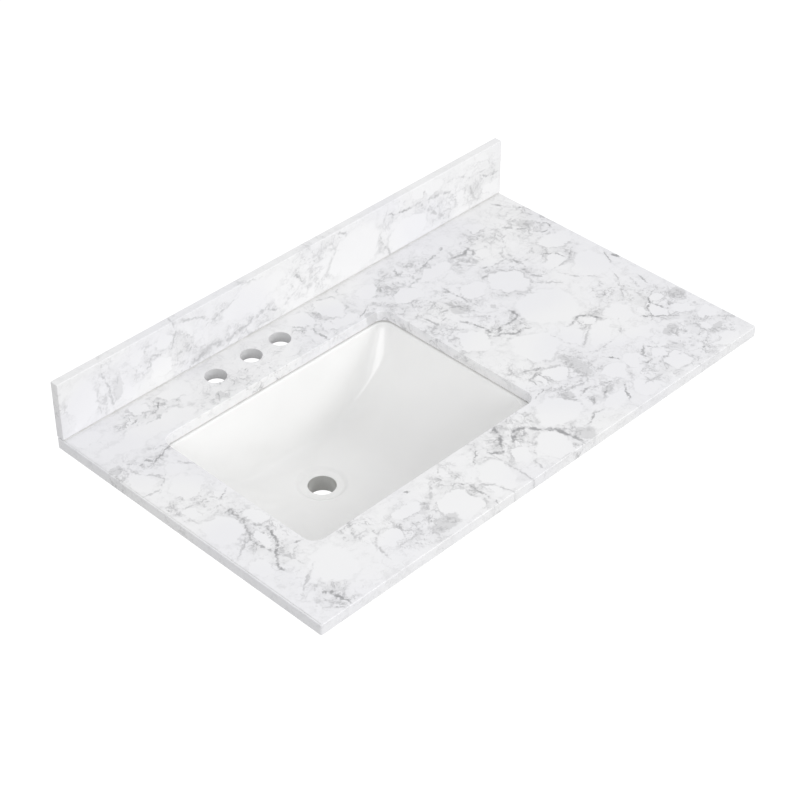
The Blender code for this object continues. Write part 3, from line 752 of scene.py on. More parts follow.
def basin_rings():
    """Every ring of the basin in order, from its mouth through the drain and back."""
    rough_hole = drain_hole_diameter / 2 - drain_bore_stock
    boss = boss_diameter / 2
    boss_edge = (boss, boss_bottom + boss_edge_radius, boss - boss_edge_radius, boss_bottom)
    wall = china_wall - rim_round
    top = flange_underside - flange_fillet
    edge = flange_edge_radius
    mouth = quarter_round(-rim_round, rim_top - rim_round, 0, rim_top, True)[:-1]
    fillet = quarter_round(wall, top, wall + flange_fillet, flange_underside)[1:]
    under = quarter_round(0, flange_underside + edge, -edge, flange_underside, True)
    over = quarter_round(0, rim_top - edge, -edge, rim_top)
    return [
        *stacked(bowl_outline, mouth),
        *bowl_surface(0, rim_top - rim_round, recess_diameter / 2),
        *recess_rings(),
        drain_ring(rough_hole, drain_top),
        drain_ring(rough_hole, boss_bottom),
        *(drain_ring(*place) for place in quarter_round(*boss_edge, True)),
        drain_ring(boss, recess_top - china_wall - boss_edge_radius),
        *reversed(outer_surface()),
        *stacked(bowl_outline, fillet),
        *stacked(flange_outline, under + over),
    ]


def front_line(rings):
    """The line down the middle of the front wall of a bowl surface."""
    outline = bowl_outline(-rim_round)
    middle = min(
        (index for index, (point, way) in enumerate(outline) if way.y < 0),
        key=lambda index: abs(outline[index][0].x - bowl_centre_x),
    )
    return [Vector((bowl_centre_x, ring[middle].y, ring[middle].z)) for ring in rings]


def points_along(line, start_height, end_y):
    """Even points along a falling line, from a height to a depth from the front."""
    top = next(index for index, point in enumerate(line) if point.z < start_height)
    before = line[top - 1] if top > 0 else line[top] + (line[top] - line[top + 1])
    reach = (start_height - before.z) / (line[top].z - before.z)
    route = [before.lerp(line[top], reach)] + line[top:]
    route.append(Vector((route[-1].x, end_y, route[-1].z)))
    lengths = [0]
    for here, there in zip(route, route[1:]):
        lengths.append(lengths[-1] + (there - here).length)
    points = []
    for step in range(channel_steps + 1):
        wanted = lengths[-1] * step / channel_steps
        after = bisect.bisect_left(lengths, wanted, 1, len(lengths) - 1)
        span = lengths[after] - lengths[after - 1]
        share = (wanted - lengths[after - 1]) / span
        points.append(route[after - 1].lerp(route[after], share))
    return points


def swept_section(path, width, inner, outer, radius):
    """Sweep a rounded section along a path under the basin, from an inner to an outer face."""
    low = Vector((-width / 2, inner, 0))
    high = Vector((width / 2, outer, 0))
    section = rounded_outline(low, high, [radius] * 4, section_steps, (1, 1))
    rings = []
    for index, point in enumerate(path):
        ahead = path[min(index + 1, len(path) - 1)]
        behind = path[max(index - 1, 0)]
        out = (ahead - behind).normalized().cross(sideways)
        rings.append([point + sideways * spot.x + out * spot.y for spot, way in section])
    return loft(rings, False)


def overflow_hump():
    """The cast ridge that holds the overflow channel."""
    start = flange_underside + flange_thickness / 2
    path = points_along(front_line(outer_surface()), start, drain_place.y)
    width = channel_width + 2 * channel_skin
    outer = channel_depth + channel_skin
    return swept_section(path, width, -china_wall / 2, outer, hump_corner_radius)


def overflow_channel():
    """The passage from behind the overflow slot to the drain."""
    start = rim_top - overflow_below_rim + overflow_height / 2 + channel_top_margin
    path = points_along(front_line(outer_surface()), start, drain_place.y)
    return swept_section(path, channel_width, 0, channel_depth, channel_corner_radius)


def circle_ways(radius):
    """Steps across and up from a circle's centre to the points round a hole."""
    angles = [(step + 1 / 2) / hole_sides * math.tau for step in range(hole_sides)]
    return [(radius * math.cos(angle), radius * math.sin(angle)) for angle in angles]


def overflow_slot(lip):
    """The round-ended slot through the front wall, with its glazed lip flared by a radius."""
    line = front_line(bowl_surface(0, rim_top - rim_round, recess_diameter / 2))
    middle = rim_top - overflow_below_rim
    below = next(index for index, point in enumerate(line) if point.z < middle)
    share = (middle - line[below - 1].z) / (line[below].z - line[below - 1].z)
    centre = line[below - 1].lerp(line[below], share)
    up = (line[below - 1] - line[below]).normalized()
    out = up.cross(sideways).normalized()
    if out.y < 0:
        out.negate()
    lip_round = quarter_round(0, lip, -lip, 0)[1:]
    depths = [(lip * 2, lip), *lip_round, (-china_wall - channel_depth / 2, 0)]
    spread = (overflow_width - overflow_height) / 2
    rings = []
    for depth, flare in depths:
        ring = []
        for side, rise in circle_ways(overflow_height / 2 + flare):
            side += math.copysign(spread, side)
            ring.append(centre + out * depth + sideways * side + up * rise)
        rings.append(ring)
    return loft(rings, False)


def drain_bore(lip):
    """The drain's bore, with the round of its top edge."""
    radius = drain_hole_diameter / 2
    profile = [
        (radius, boss_bottom - cut_overrun),
        *quarter_round(radius, drain_top - lip, radius + lip, drain_top)[:-1],
        (radius + lip * 2, drain_top + cut_overrun),
    ]
    rings = []
    for distance, height in profile:
        spots = [drain_place + Vector(way) for way in circle_ways(distance)]
        rings.append([Vector((spot.x, spot.y, height)) for spot in spots])
    return loft(rings, False)


def add_node(tree, kind, inputs=(), **settings):
    """Add a node with its settings and links, and return its outputs.

    The inputs go by name or number, or in the node's own order with None for one left alone.
    Each is a plain value, or an output of another node to link to.
    """
    made = tree.nodes.new("ShaderNode" + kind)
    for key, value in settings.items():
        setattr(made, key, value)
    for key, value in inputs.items() if isinstance(inputs, dict) else enumerate(inputs):
        if isinstance(value, bpy.types.NodeSocket):
            tree.links.new(value, made.inputs[key])
        elif value is not None:
            made.inputs[key].default_value = value
    return made.outputs


def nearness(tree, point, ovals):
    """The least squared distance to any of a list of ovals, counted in their own half sizes."""
    nearest = far_from_ovals
    for x, y, half_length, half_width, degrees in ovals:
        along = Vector((math.cos(math.radians(degrees)), math.sin(math.radians(degrees))))
        parts = []
        for way, half in ((along, half_length), (along.orthogonal(), half_width)):
            row = (way.x / half, way.y / half, -way.dot(Vector((x, y))) / half)
            dotted = add_node(tree, "VectorMath", (point, row), operation="DOT_PRODUCT")
            parts.append(dotted["Value"])
        first, second = parts
        square = add_node(tree, "Math", (second, second), **times)[0]
        total = add_node(tree, "Math", (first, first, square), **times_and_plus)[0]
        nearest = add_node(tree, "Math", (total, nearest), operation="MINIMUM")[0]
    return nearest


def vein_ovals(runs):
    """Long thin ovals along runs of points, lapped so that they read as one vein."""
    ovals = []
    for half_width, *points in runs:
        for start, end in zip(points, points[1:]):
            way = Vector(end) - Vector(start)
            middle = (Vector(start) + Vector(end)) / 2
            half_length = way.length * vein_lap_share + half_width
            turn = math.degrees(math.atan2(way.y, way.x))
            ovals.append((middle.x, middle.y, half_length, half_width, turn))
    return ovals


def shifted(tree, point, size, reach, detail, roughness=0.55):
    """The point moved about by up to a reach, by a pattern of a size."""
    spots = add_node(tree, "TexNoise", (point, None, 1 / size, detail, roughness))["Color"]
    centred = add_node(tree, "VectorMath", (spots, (0.5,) * 3), operation="SUBTRACT")[0]
    return add_node(tree, "VectorMath", (centred, (reach,) * 3, point), **times_and_plus)[0]


def clouds(tree, point, size, detail, roughness, *ends):
    """Soft spots about a size across, faded between two heights, and to two levels if given."""
    spots = add_node(tree, "TexNoise", (point, None, 1 / size, detail, roughness))["Fac"]
    return add_node(tree, "MapRange", (spots, *ends), **smoothly)[0]


def cracks(tree, point, size, half_width):
    """Lines of a half width between cells of a size, each fading out on both sides."""
    settings = {"feature": "DISTANCE_TO_EDGE", "voronoi_dimensions": "3D"}
    inputs = {"Vector": point, "Scale": 1 / size}
    edge = add_node(tree, "TexVoronoi", inputs, **settings)["Distance"]
    return add_node(tree, "MapRange", (edge, 0, half_width / size, 1, 0), **smoothly)[0]


def curls(tree, point, size, share):
    """Winding lines at the middle height of a random pattern, a share of its rise wide."""
    height = add_node(tree, "TexNoise", (point, None, 1 / size, 2, 0.6))["Fac"]
    ridge = add_node(tree, "Math", (height, 0.5), operation="PINGPONG")[0]
    return add_node(tree, "MapRange", (ridge, 0.5 - share, 0.5), **smoothly)[0]


def marble_pattern(name, drawing, weight, turn=0):
    """A group whose outputs are the marble's colour and how much vein there is at a point.

    A drawing is what one board shows: its clear islands, where its veins gather, its dark, grey
    and faint veins, and its patches. The weight says how strong they are, and the turn lays an
    upright board flat. Lengths are in mm. The numbers of a fade are where it starts and ends,
    then its levels there.
    """
    islands, clusters, *runs, patches = drawing
    stone = bpy.context.scene.vanity_stone
    group = bpy.data.node_groups.new(name, "ShaderNodeTree")
    for output, kind in (("Colour", "NodeSocketColor"), ("Vein", "NodeSocketFloat")):
        group.interface.new_socket(output, in_out="OUTPUT", socket_type=kind)
    add = functools.partial(add_node, group)
    place = add("TexCoord")["Object"]
    inputs = {"Vector": place, "Rotation": (turn, 0, 0), "Scale": (mm_in_metre,) * 3}
    point = add("Mapping", inputs)[0]
    broad = shifted(group, point, broad_bend, stone.broad_wander, 3)
    ragged = shifted(group, point, fine_bend, stone.fine_wander, 5, 0.75)
    curly = shifted(group, broad, curl_bend, stone.fine_wander, 4, 0.65)
    # The ovals are counted on points whose height is one
    flat, loose = (
        add("VectorMath", (spot, (1, 1, 0), (0, 0, 1)), **times_and_plus)[0]
        for spot in (ragged, shifted(group, ragged, loose_bend, stone.broad_wander, 2))
    )

    # How busy the stone is: bare on the islands and in random gaps, full where veins gather
    breaks = add("TexNoise", (point, None, 1 / break_size, 3, 0.6))["Fac"]
    thinning = add("MapRange", (breaks, 0.4, 0.56, 0.12, 1), **smoothly)[0]
    clear = nearness(group, loose, islands)
    outside = add("MapRange", (clear, 0.75, 1.1), **smoothly)[0]
    near_cluster = nearness(group, loose, clusters)
    gathered = add("MapRange", (near_cluster, 0.4, 1.9, 1, 0.27), **smoothly)[0]
    busy = clouds(group, broad, gap_size, 2, 0.6, 0.4, 0.54, 0.2, 1)
    busy = add("Math", (gathered, busy), **times)[0]
    busy = add("Math", (busy, outside), **times)[0]

    # The drawn veins, then the random lines between them
    dark, grey, faint = (
        add("MapRange", (nearness(group, flat, vein_ovals(run)), 0, reach, 1, 0), **smoothly)[0]
        for run, reach in zip(runs, vein_reaches)
    )
    strong = add("MapRange", (breaks, 0.38, 0.54, 0.25 * weight, 0.82 * weight), **smoothly)[0]
    strong = add("Math", (dark, strong), **times)[0]
    lively = add("Math", (busy, thinning), **times)[0]
    rising = add("MapRange", (clear, 0.8, 1.0), **smoothly)[0]
    falling = add("MapRange", (clear, 1.0, 1.35, 1, 0), **smoothly)[0]
    island_rim = add("Math", (rising, falling), **times)[0]
    near_veins = add("Math", (thinning, gathered), **times)[0]
    veins = 0
    for line, within, share in (
        (grey, thinning, 0.62),
        (curls(group, curly, web_size, 0.035), lively, 0.52),
        (curls(group, curly, hair_size, 0.045), lively, 0.3),
        (cracks(group, curly, cell_size, crack_half_width), lively, 0.42),
        (island_rim, near_veins, 0.3),
        (faint, thinning, 0.4),
    ):
        kept = add("Math", (line, within), **times)[0]
        drawn = add("Math", (kept, share * weight), **times)[0]
        veins = add("Math", (veins, drawn), **larger)[0]

    # The grey that fills the ground between the veins: mottle, drawn patches and haze
    mottle = clouds(group, curly, mottle_size, 4, 0.6, 0.51, 0.58)
    depth = add("Math", (busy, 0.19 * weight), **times)[0]
    mottle = add("Math", (mottle, depth), **times)[0]
    edge = add("Math", (breaks, 2), **times)[0]
    patch = add("Math", (nearness(group, flat, patches), edge), **plus)[0]
    patch = add("MapRange", (patch, 1.5, 2.0, 0.3 * weight, 0), **smoothly)[0]
    haze = clouds(group, broad, haze_size, 4, 0.6, 0.42, 0.68, 0, 0.12)
    open_ground = add("Math", (outside, gathered), **times)[0]
    haze = add("Math", (haze, open_ground), **times)[0]
    fill = add("Math", (mottle, patch), **larger)[0]
    fill = add("Math", (fill, haze), **larger)[0]

    colour_here = stone.ground
    for share, shade in (
        (clouds(group, point, tint_size, 1, 0.5, 0.42, 0.6), stone.cool_ground),
        (fill, stone.patch_grey),
        (veins, stone.vein_grey),
        (strong, stone.vein_dark),
    ):
        colour_here = add("Mix", {0: share, 6: colour_here, 7: shade}, data_type="RGBA")[2]
    out = group.nodes.new("NodeGroupOutput").inputs
    group.links.new(colour_here, out["Colour"])
    group.links.new(add("Math", (strong, veins), **larger)[0], out["Vein"])
    return group


def new_finish(name, **values):
    """A material, its nodes, its shader with even values set, and a point on its piece."""
    finish = bpy.data.materials.new(name)
    finish.use_nodes = True
    tree = finish.node_tree
    shader = tree.nodes["Principled BSDF"]
    for socket, value in values.items():
        shader.inputs[socket].default_value = value
    return finish, tree, shader, add_node(tree, "TexCoord")["Object"]


def lay(shader, colours, relief, shine):
    """Link a shader's colour, its relief, and a roughness that follows a grain.

    The colours are a share and the two colours it mixes, the relief is a height, a strength and
    a depth, and the shine is a grain with the roughness where it is lowest and highest.
    """
    tree = shader.id_data
    mixed = add_node(tree, "Mix", dict(zip((0, 6, 7), colours)), data_type="RGBA")[2]
    bump = add_node(tree, "Bump", dict(zip(("Height", "Strength", "Distance"), relief)))[0]
    grain, smoothest, roughest = shine
    rough = add_node(tree, "MapRange", (grain, 0.3, 0.7, smoothest, roughest), **smoothly)[0]
    for socket, value in (("Base Color", mixed), ("Roughness", rough), ("Normal", bump)):
        tree.links.new(value, shader.inputs[socket])


def polished_marble(name, pattern):
    """Engineered marble: crushed stone and resin, pressed, then ground and polished.

    A white ground with grey veins right through it, under a tight, slightly soft gloss.
    """
    finish, tree, shader, place = new_finish(name, IOR=1.54)
    veining = add_node(tree, "Group", node_tree=pattern)
    grain = add_node(tree, "TexNoise", (place, None, 1 / polish_grain))["Fac"]
    vein = add_node(tree, "Math", (veining["Vein"], 0.3), **times)[0]
    gloss = add_node(tree, "Math", (grain, vein), **plus)[0]
    gloss = add_node(tree, "MapRange", (gloss, 0.3, 0.9), **smoothly)[0]
    rough = add_node(tree, "MapRange", (gloss, 0, 1, 0.2, 0.3))[0]
    tree.links.new(veining["Colour"], shader.inputs["Base Color"])
    tree.links.new(rough, shader.inputs["Roughness"])
    return finish


def cut_marble(name, pattern, dust, spacing, way):
    """The same board where it is only sawn or drilled: matt, with fine even score lines.

    The lines follow each other along one axis: across for a saw, down the hole for a core drill.
    """
    finish, tree, shader, place = new_finish(name)
    veining = add_node(tree, "Group", node_tree=pattern)
    inputs = {"Vector": place, "Scale": 1 / spacing, "Distortion": 1.5, "Detail": 3}
    scores = add_node(tree, "TexWave", inputs, wave_type="BANDS", bands_direction=way)["Fac"]
    scores = add_node(tree, "Math", (scores, 0.35), **times)[0]
    grit = add_node(tree, "TexNoise", (place, None, 1 / cut_grit, 3, 0.7))["Fac"]
    relief = add_node(tree, "Math", (scores, grit), **plus)[0]
    lay(shader, (0.55, veining["Colour"], dust), (relief, 0.35, 0.0003), (grit, 0.5, 0.7))
    return finish


def glazed_china(name, light, shade):
    """Vitreous china, slip cast, sprayed with a clear glaze and fired.

    A faintly warm white whose glassy skin is not quite even, so that reflections waver.
    """
    finish, tree, shader, place = new_finish(name, IOR=1.52)
    waves = add_node(tree, "TexNoise", (place, None, 1 / glaze_wave, 2, 0.45))["Fac"]
    peel = add_node(tree, "TexNoise", (place, None, 1 / glaze_peel, 2, 0.5))["Fac"]
    fine = add_node(tree, "Math", (peel, 0.06), **times)[0]
    relief = add_node(tree, "Math", (waves, fine), **plus)[0]
    pooled = clouds(tree, place, glaze_pool, 2, 0.5, 0.4, 0.65)
    waviness = bpy.context.scene.vanity_china.glaze_waviness
    lay(shader, (pooled, light, shade), (relief, 1, waviness), (peel, 0.05, 0.085))
    return finish


def bare_china():
    """China left without glaze where it was ground flat or stood in the kiln: cream and dry."""
    finish, tree, shader, place = new_finish("bare_china")
    china = bpy.context.scene.vanity_china
    grain = add_node(tree, "TexNoise", (place, None, 1 / bare_grain, 4, 0.7))["Fac"]
    stain = clouds(tree, place, bare_stain, 3, 0.5, 0.4, 0.7)
    lay(shader, (stain, china.bare, china.bare_shade), (grain, 0.5, 0.0003), (grain, 0.72, 0.88))
    return finish


def cured_silicone(name, light, shade):
    """Silicone sealant, gunned in and tooled: soft edged and slightly greasy to the eye."""
    finish, tree, shader, place = new_finish(name, IOR=1.41)
    ripples = add_node(tree, "TexNoise", (place, None, 1 / silicone_ripple, 3, 0.5))["Fac"]
    cloud = add_node(tree, "TexNoise", (place, None, 1 / silicone_cloud))["Fac"]
    lay(shader, (cloud, light, shade), (ripples, 0.5, 0.0004), (ripples, 0.3, 0.5))
    return finish


def worked_metal(name, light, shade, smoothest, roughest, grain_size):
    """A metal whose colour and shine both drift, over a fine grain."""
    finish, tree, shader, place = new_finish(name, Metallic=1)
    cloud = add_node(tree, "TexNoise", (place, None, 1 / metal_cloud, 3, 0.6))["Fac"]
    patchy = add_node(tree, "MapRange", (cloud, 0.35, 0.65), **smoothly)[0]
    grain = add_node(tree, "TexNoise", (place, None, 1 / grain_size, 2, 0.6))["Fac"]
    lay(shader, (patchy, light, shade), (grain, 0.3, 0.0001), (cloud, smoothest, roughest))
    return finish


def zinc_plate(fittings):
    """Bright zinc electroplated on pressed and rolled steel: pale, cloudy, finely grained."""
    return worked_metal("zinc_plate", fittings.zinc, fittings.zinc_shade, 0.24, 0.46, zinc_grain)


def turned_brass(fittings):
    """Brass bar turned on a lathe and left bare: yellow, duller where it has been handled."""
    brass = (fittings.brass, fittings.brass_shade)
    return worked_metal("turned_brass", *brass, 0.2, 0.42, lathe_grain)


def assign_faces(piece, index, test):
    """Give a piece's second or third finish to the faces that pass a test."""
    for face in piece.data.polygons:
        if test(face):
            face.material_index = index


def make_slab():
    """The slab with its cut-out, faucet holes, clip anchor sockets and eased edges."""
    stone = bpy.context.scene.vanity_stone
    pattern = marble_pattern("slab_veining", slab_drawing, 1)
    finishes = [
        polished_marble("polished_marble", pattern),
        cut_marble("sawn_marble", pattern, stone.sawn_dust, saw_spacing, "X"),
        # The drilled walls' darker grey is drilling dust and also painted shade for the dim insides
        # of the holes
        cut_marble("drilled_marble", pattern, stone.drilled_dust_and_painted_shade, drill_spacing, "Z"),
    ]
    body = rounded_block(slab_low, slab_high, slab_corner_radius)
    slab = add_piece("marble_slab", body, finishes, ["countertop_slab"])
    over = Vector((0, 0, cut_overrun))
    low = cutout_low - over
    high = cutout_high + over
    high.z += slab_high.z
    carve(slab, rounded_block(low, high, cutout_corner_radius))
    ease_edges(slab, stone.arris, arris_steps)
    drillings = bmesh.new()
    for x, y in faucet_places():
        low = slab_low.z - cut_overrun
        add_cylinder(drillings, x, y, faucet_hole_diameter, low, slab_high.z + cut_overrun)
    for name, x, y, turn in clip_places():
        low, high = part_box("anchor_" + name)
        bore = high.x - low.x + 2 * clearance
        top = slab_high.z - anchor_cover
        add_cylinder(drillings, x, y, bore, slab_low.z - cut_overrun, top, fastener_sides)
    carve(slab, drillings)
    ease_edges(slab, stone.hole_arris, hole_arris_steps)
    assign_faces(slab, 1, is_sawn_under)
    assign_faces(slab, 2, is_drilled)
    even_shading(slab)


def is_sawn_under(face):
    """Whether a face of a board is its unpolished underside."""
    return face.normal.z < -facing_straight


def is_drilled(face):
    """Whether a face is in the wall of one of the holes."""
    away = min((face.center.xy - Vector(place)).length for place in faucet_places())
    return abs(face.normal.z) < facing_half and away < faucet_hole_diameter / 2 + clearance


def make_backsplash():
    """The upstand along the slab's rear edge, polished in front and sawn behind and below."""
    stone = bpy.context.scene.vanity_stone
    upright = -math.pi / 2
    pattern = marble_pattern("backsplash_veining", splash_drawing, splash_vein_weight, upright)
    finishes = [
        polished_marble("polished_marble_upstand", pattern),
        cut_marble("sawn_marble_upstand", pattern, stone.sawn_dust, saw_spacing, "X"),
    ]
    shape = bmesh.new()
    add_block(shape, splash_low, splash_high)
    strip = add_piece("marble_backsplash", shape, finishes, ["backsplash"])
    ease_edges(strip, stone.arris, arris_steps)
    assign_faces(strip, 1, is_sawn_under)
    assign_faces(strip, 1, lambda face: face.normal.y > facing_straight)
    even_shading(strip)


def make_basin():
    """The china bowl with its flange, rounded rim, dished drain and cast overflow."""
    china = bpy.context.scene.vanity_china
    finishes = [
        glazed_china("glazed_china", china.glaze, china.thick_glaze),
        bare_china(),
        # Third finish: the drain bore's grey, over its thinner glaze, darkened as painted shade for
        # the dark seen down the hole
        glazed_china("thin_glaze_and_painted_shade_china", china.outlet_grey_and_painted_shade, china.outlet_dark_painted_shade),
    ]
    shape = loft(basin_rings(), True)
    bowl = add_piece("china_basin", shape, finishes, ["basin"])
    carve(bowl, overflow_hump(), "UNION")
    carve(bowl, overflow_channel())
    carve(bowl, overflow_slot(china.overflow_lip))
    carve(bowl, drain_bore(china.drain_lip))
    assign_faces(bowl, 1, is_unglazed)
    # The bore's faces take the grey of thin glaze and painted shade
    assign_faces(bowl, 2, is_outlet_wall)


def is_unglazed(face):
    """Whether a face of the basin was ground flat under the slab, or stood in the kiln."""
    ground = face.normal.z > facing_straight and face.center.z > rim_top - clearance
    foot = face.normal.z < -facing_mostly and face.center.z < boss_bottom + clearance
    beyond = face.center.x < bead_low.x or face.center.x > bead_high.x
    return foot or (ground and beyond)


def is_outlet_wall(face):
    """Whether a face of the basin is in the wall of the drain's bore."""
    away = (face.center.xy - drain_place).length
    return abs(face.normal.z) < facing_half and away < drain_hole_diameter / 2 + clearance


def hollowed(margin, depth, low, high):
    """Margins and heights up a bead's face, which is drawn in from its edges."""
    shares = [step / round_steps for step in range(round_steps + 1)]
    return [
        (margin + depth * (1 - (2 * share - 1) ** 2), low + (high - low) * share)
        for share in shares
    ]


def make_seals():
    """The bead of silicone under the slab and the bed under the backsplash, both drawn in."""
    fittings = bpy.context.scene.vanity_fittings
    clear = cured_silicone("clear_silicone", fittings.silicone, fittings.silicone_shade)
    matched = cured_silicone("white_silicone", fittings.white_silicone, fittings.silicone)
    hollow = fittings.bead_hollow
    heights = (bead_low.z, bead_high.z)
    inside = stacked(cutout_outline, hollowed(fittings.bead_setback, hollow, *heights))
    outside = stacked(flange_outline, hollowed(basin_low.x - bead_low.x, -hollow, *heights))
    bead = loft(inside + outside[::-1], True)
    add_piece("rim_sealant", bead, [clear], ["basin_sealant"])
    front = Vector((bed_low.x, splash_low.y + fittings.bed_setback, 0))
    bed_outline = functools.partial(grown_outline, front, bed_high, [hollow + mesh_tolerance] * 4)
    bed = loft(stacked(bed_outline, hollowed(0, -hollow, bed_low.z, bed_high.z)), False)
    add_piece("backsplash_bed", bed, [matched], ["backsplash_adhesive"])


def anchor_shape(low, high):
    """A turned insert with a chamfered mouth, splined along its side to grip the stone."""
    radius = (high.x - low.x) / 2
    bore = stud_diameter / 2 + clearance
    spline = radius * anchor_spline_share
    rise = high.z - low.z
    floor = high.z - anchor_floor
    groove = [(radius - spline * depth, low.z + rise * share) for share, depth in anchor_groove]
    mouth = [(bore + spline, low.z), (radius - spline, low.z), (radius, low.z + spline)]
    top = [(radius, high.z - spline), (radius - spline, high.z), (0, high.z), (0, floor)]
    inside = [(bore, floor), (bore, low.z + spline)]
    shape = turned(mouth + groove + top + inside)
    bmesh.ops.remove_doubles(shape, verts=shape.verts, dist=mesh_tolerance)
    for corner in shape.verts:
        distance = corner.co.xy.length
        if distance > radius - spline / 2:
            place = math.atan2(corner.co.y, corner.co.x) / math.tau * turned_sides
            if round(place) % 4 >= 2:
                corner.co.xy *= (radius - spline) / distance
    return shape


def stud_shape(low, high, pitch):
    """A rod with a rolled thread: one tooth spun up the rod, then cut square at both ends."""
    depth = pitch * thread_depth_share
    root = stud_diameter / 2 - depth
    shape = bmesh.new()
    tooth = [(root + depth * out, 0, pitch * rise) for out, rise in thread_tooth]
    corners = [shape.verts.new(point) for point in tooth]
    for start, end in zip(corners, corners[1:]):
        shape.edges.new((start, end))
    spin_round(shape, math.ceil((high.z - low.z) / pitch) + 2, thread_sides, pitch)
    bmesh.ops.remove_doubles(shape, verts=shape.verts, dist=mesh_tolerance)
    bmesh.ops.translate(shape, verts=shape.verts, vec=(0, 0, low.z - pitch))
    for height, way in ((low.z, -1), (high.z, 1)):
        plane = {"plane_co": (0, 0, height), "plane_no": (0, 0, way), "clear_outer": True}
        whole = shape.verts[:] + shape.edges[:] + shape.faces[:]
        bmesh.ops.bisect_plane(shape, geom=whole, dist=cut_tolerance, **plane)
        rim = [edge for edge in shape.edges if edge.is_boundary]
        rim = [edge for edge in rim if abs(edge.verts[0].co.z - height) < clearance]
        bmesh.ops.holes_fill(shape, edges=rim)
    return shape


def draw_out(shape, made, distance):
    """Move what has just been extruded towards the rear."""
    moved = [item for item in made["geom"] if isinstance(item, bmesh.types.BMVert)]
    bmesh.ops.translate(shape, verts=moved, vec=(0, distance, 0))


def clip_shape(low, high):
    """A pressed clip: a plate with rounded toe corners and its heel bent up."""
    toe, heel = low.x, high.x
    shape = bmesh.new()
    line = ((toe, low.z), (heel, low.z), (heel, high.z))
    corners = [shape.verts.new((x, -clip_width / 2, z)) for x, z in line]
    edges = [shape.edges.new(pair) for pair in zip(corners, corners[1:])]
    draw_out(shape, bmesh.ops.extrude_edge_only(shape, edges=edges), clip_width)
    elbow = Vector((heel, low.z))
    bend = [
        edge
        for edge in shape.edges
        if all((end.co.xz - elbow).length < clearance for end in edge.verts)
    ]
    toes = [corner for corner in shape.verts if abs(corner.co.x - toe) < clearance]
    for geom, affect in ((toes, "VERTICES"), (bend, "EDGES")):
        round_off(shape, geom, clip_gauge * clip_bend_share, affect, round_steps)
    bmesh.ops.recalc_face_normals(shape, faces=shape.faces)
    level = next(face for face in shape.faces if abs(face.normal.z) > facing_straight)
    if level.normal.z > 0:
        bmesh.ops.reverse_faces(shape, faces=shape.faces)
    bmesh.ops.solidify(shape, geom=shape.faces[:], thickness=clip_gauge)
    return shape


def clip_slot(low, high):
    """The round-ended slot in a clip that its stud passes through."""
    half_width = stud_diameter / 2 + clip_slot_play
    corner = Vector((clip_slot_length / 2, half_width, 0))
    radii = [half_width - mesh_tolerance] * 4
    outline = rounded_outline(-corner, corner, radii, section_steps, (1, 1))
    return loft([ring_at(outline, low.z - cut_overrun), ring_at(outline, high.z)], False)


def washer_shape(low, high):
    """A flat washer with its edges worn round."""
    bore = stud_diameter / 2 + clearance
    radius = (high.x - low.x) / 2
    worn = (high.z - low.z) / 4
    under = [(bore, low.z), (radius - worn, low.z), (radius, low.z + worn)]
    over = [(radius, high.z - worn), (radius - worn, high.z), (bore, high.z)]
    return turned(under + over)


def wing_shape(high, side):
    """One wing of a nut, flared down and out to a round tip."""
    root = nut_top_diameter / 4
    top = high.z - clearance
    tip_x = high.x - wing_tip_radius
    tip_z = wing_height - wing_tip_radius
    points = [(root, 0), (nut_base_diameter / 2, 0)]
    for step in range(-section_steps, section_steps * 2 + 1):
        angle = step / section_steps * math.pi / 3
        across, down = wing_tip_radius * math.cos(angle), wing_tip_radius * math.sin(angle)
        points.append((tip_x + across, tip_z + down))
    points.append((root, nut_height * 2 / 3))
    shape = bmesh.new()
    near = [shape.verts.new((side * x, -wing_thickness / 2, top - z)) for x, z in points]
    made = bmesh.ops.extrude_face_region(shape, geom=[shape.faces.new(near)])
    draw_out(shape, made, wing_thickness)
    return shape


def cast_round(piece, grain):
    """Soften a piece's joins and edges, as casting in sand or a die leaves them."""
    step = piece.modifiers.new("cast_skin", "REMESH")
    step.mode = "VOXEL"
    step.voxel_size = grain
    smoothing = piece.modifiers.new("cast_softness", "SMOOTH")
    smoothing.factor = 0.5
    smoothing.iterations = cast_smoothing_rounds
    settle(piece)
    piece.data.shade_smooth()


def nut_hub(high):
    """The hub of a wing nut, widest where it bears on the washer."""
    shape = bmesh.new()
    ends = (high.z - nut_height, high.z)
    add_cylinder(shape, 0, 0, nut_top_diameter, *ends, fastener_sides, nut_base_diameter)
    return shape


def nut_bore(low, high):
    """The bore of a wing nut, with running room for its stud."""
    shape = bmesh.new()
    bore = stud_diameter + 2 * clearance
    add_cylinder(shape, 0, 0, bore, low.z - cut_overrun, high.z + cut_overrun, fastener_sides)
    return shape


def fitting_box(kind):
    """The box of a fitting about its own stud's axis, from the clip that isn't turned."""
    low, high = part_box("stud_right_end")
    axis = Vector(((low.x + high.x) / 2, (low.y + high.y) / 2, 0))
    low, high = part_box(kind + "_right_end")
    return low - axis, high - axis


def place_copies(first, kind):
    """Put a copy of a fitting at every clip, turned with it, and drop the first one."""
    for name, x, y, turn in clip_places():
        shape = bmesh.new()
        shape.from_mesh(first.data)
        spot = Matrix.Translation((x, y, 0)) @ Matrix.Rotation(turn, 4, "Z")
        bmesh.ops.transform(shape, matrix=spot, verts=shape.verts)
        finishes = list(first.data.materials)
        add_piece(kind + "_at_" + name, shape, finishes, [kind + "_" + name])
    bpy.data.objects.remove(first, do_unlink=True)


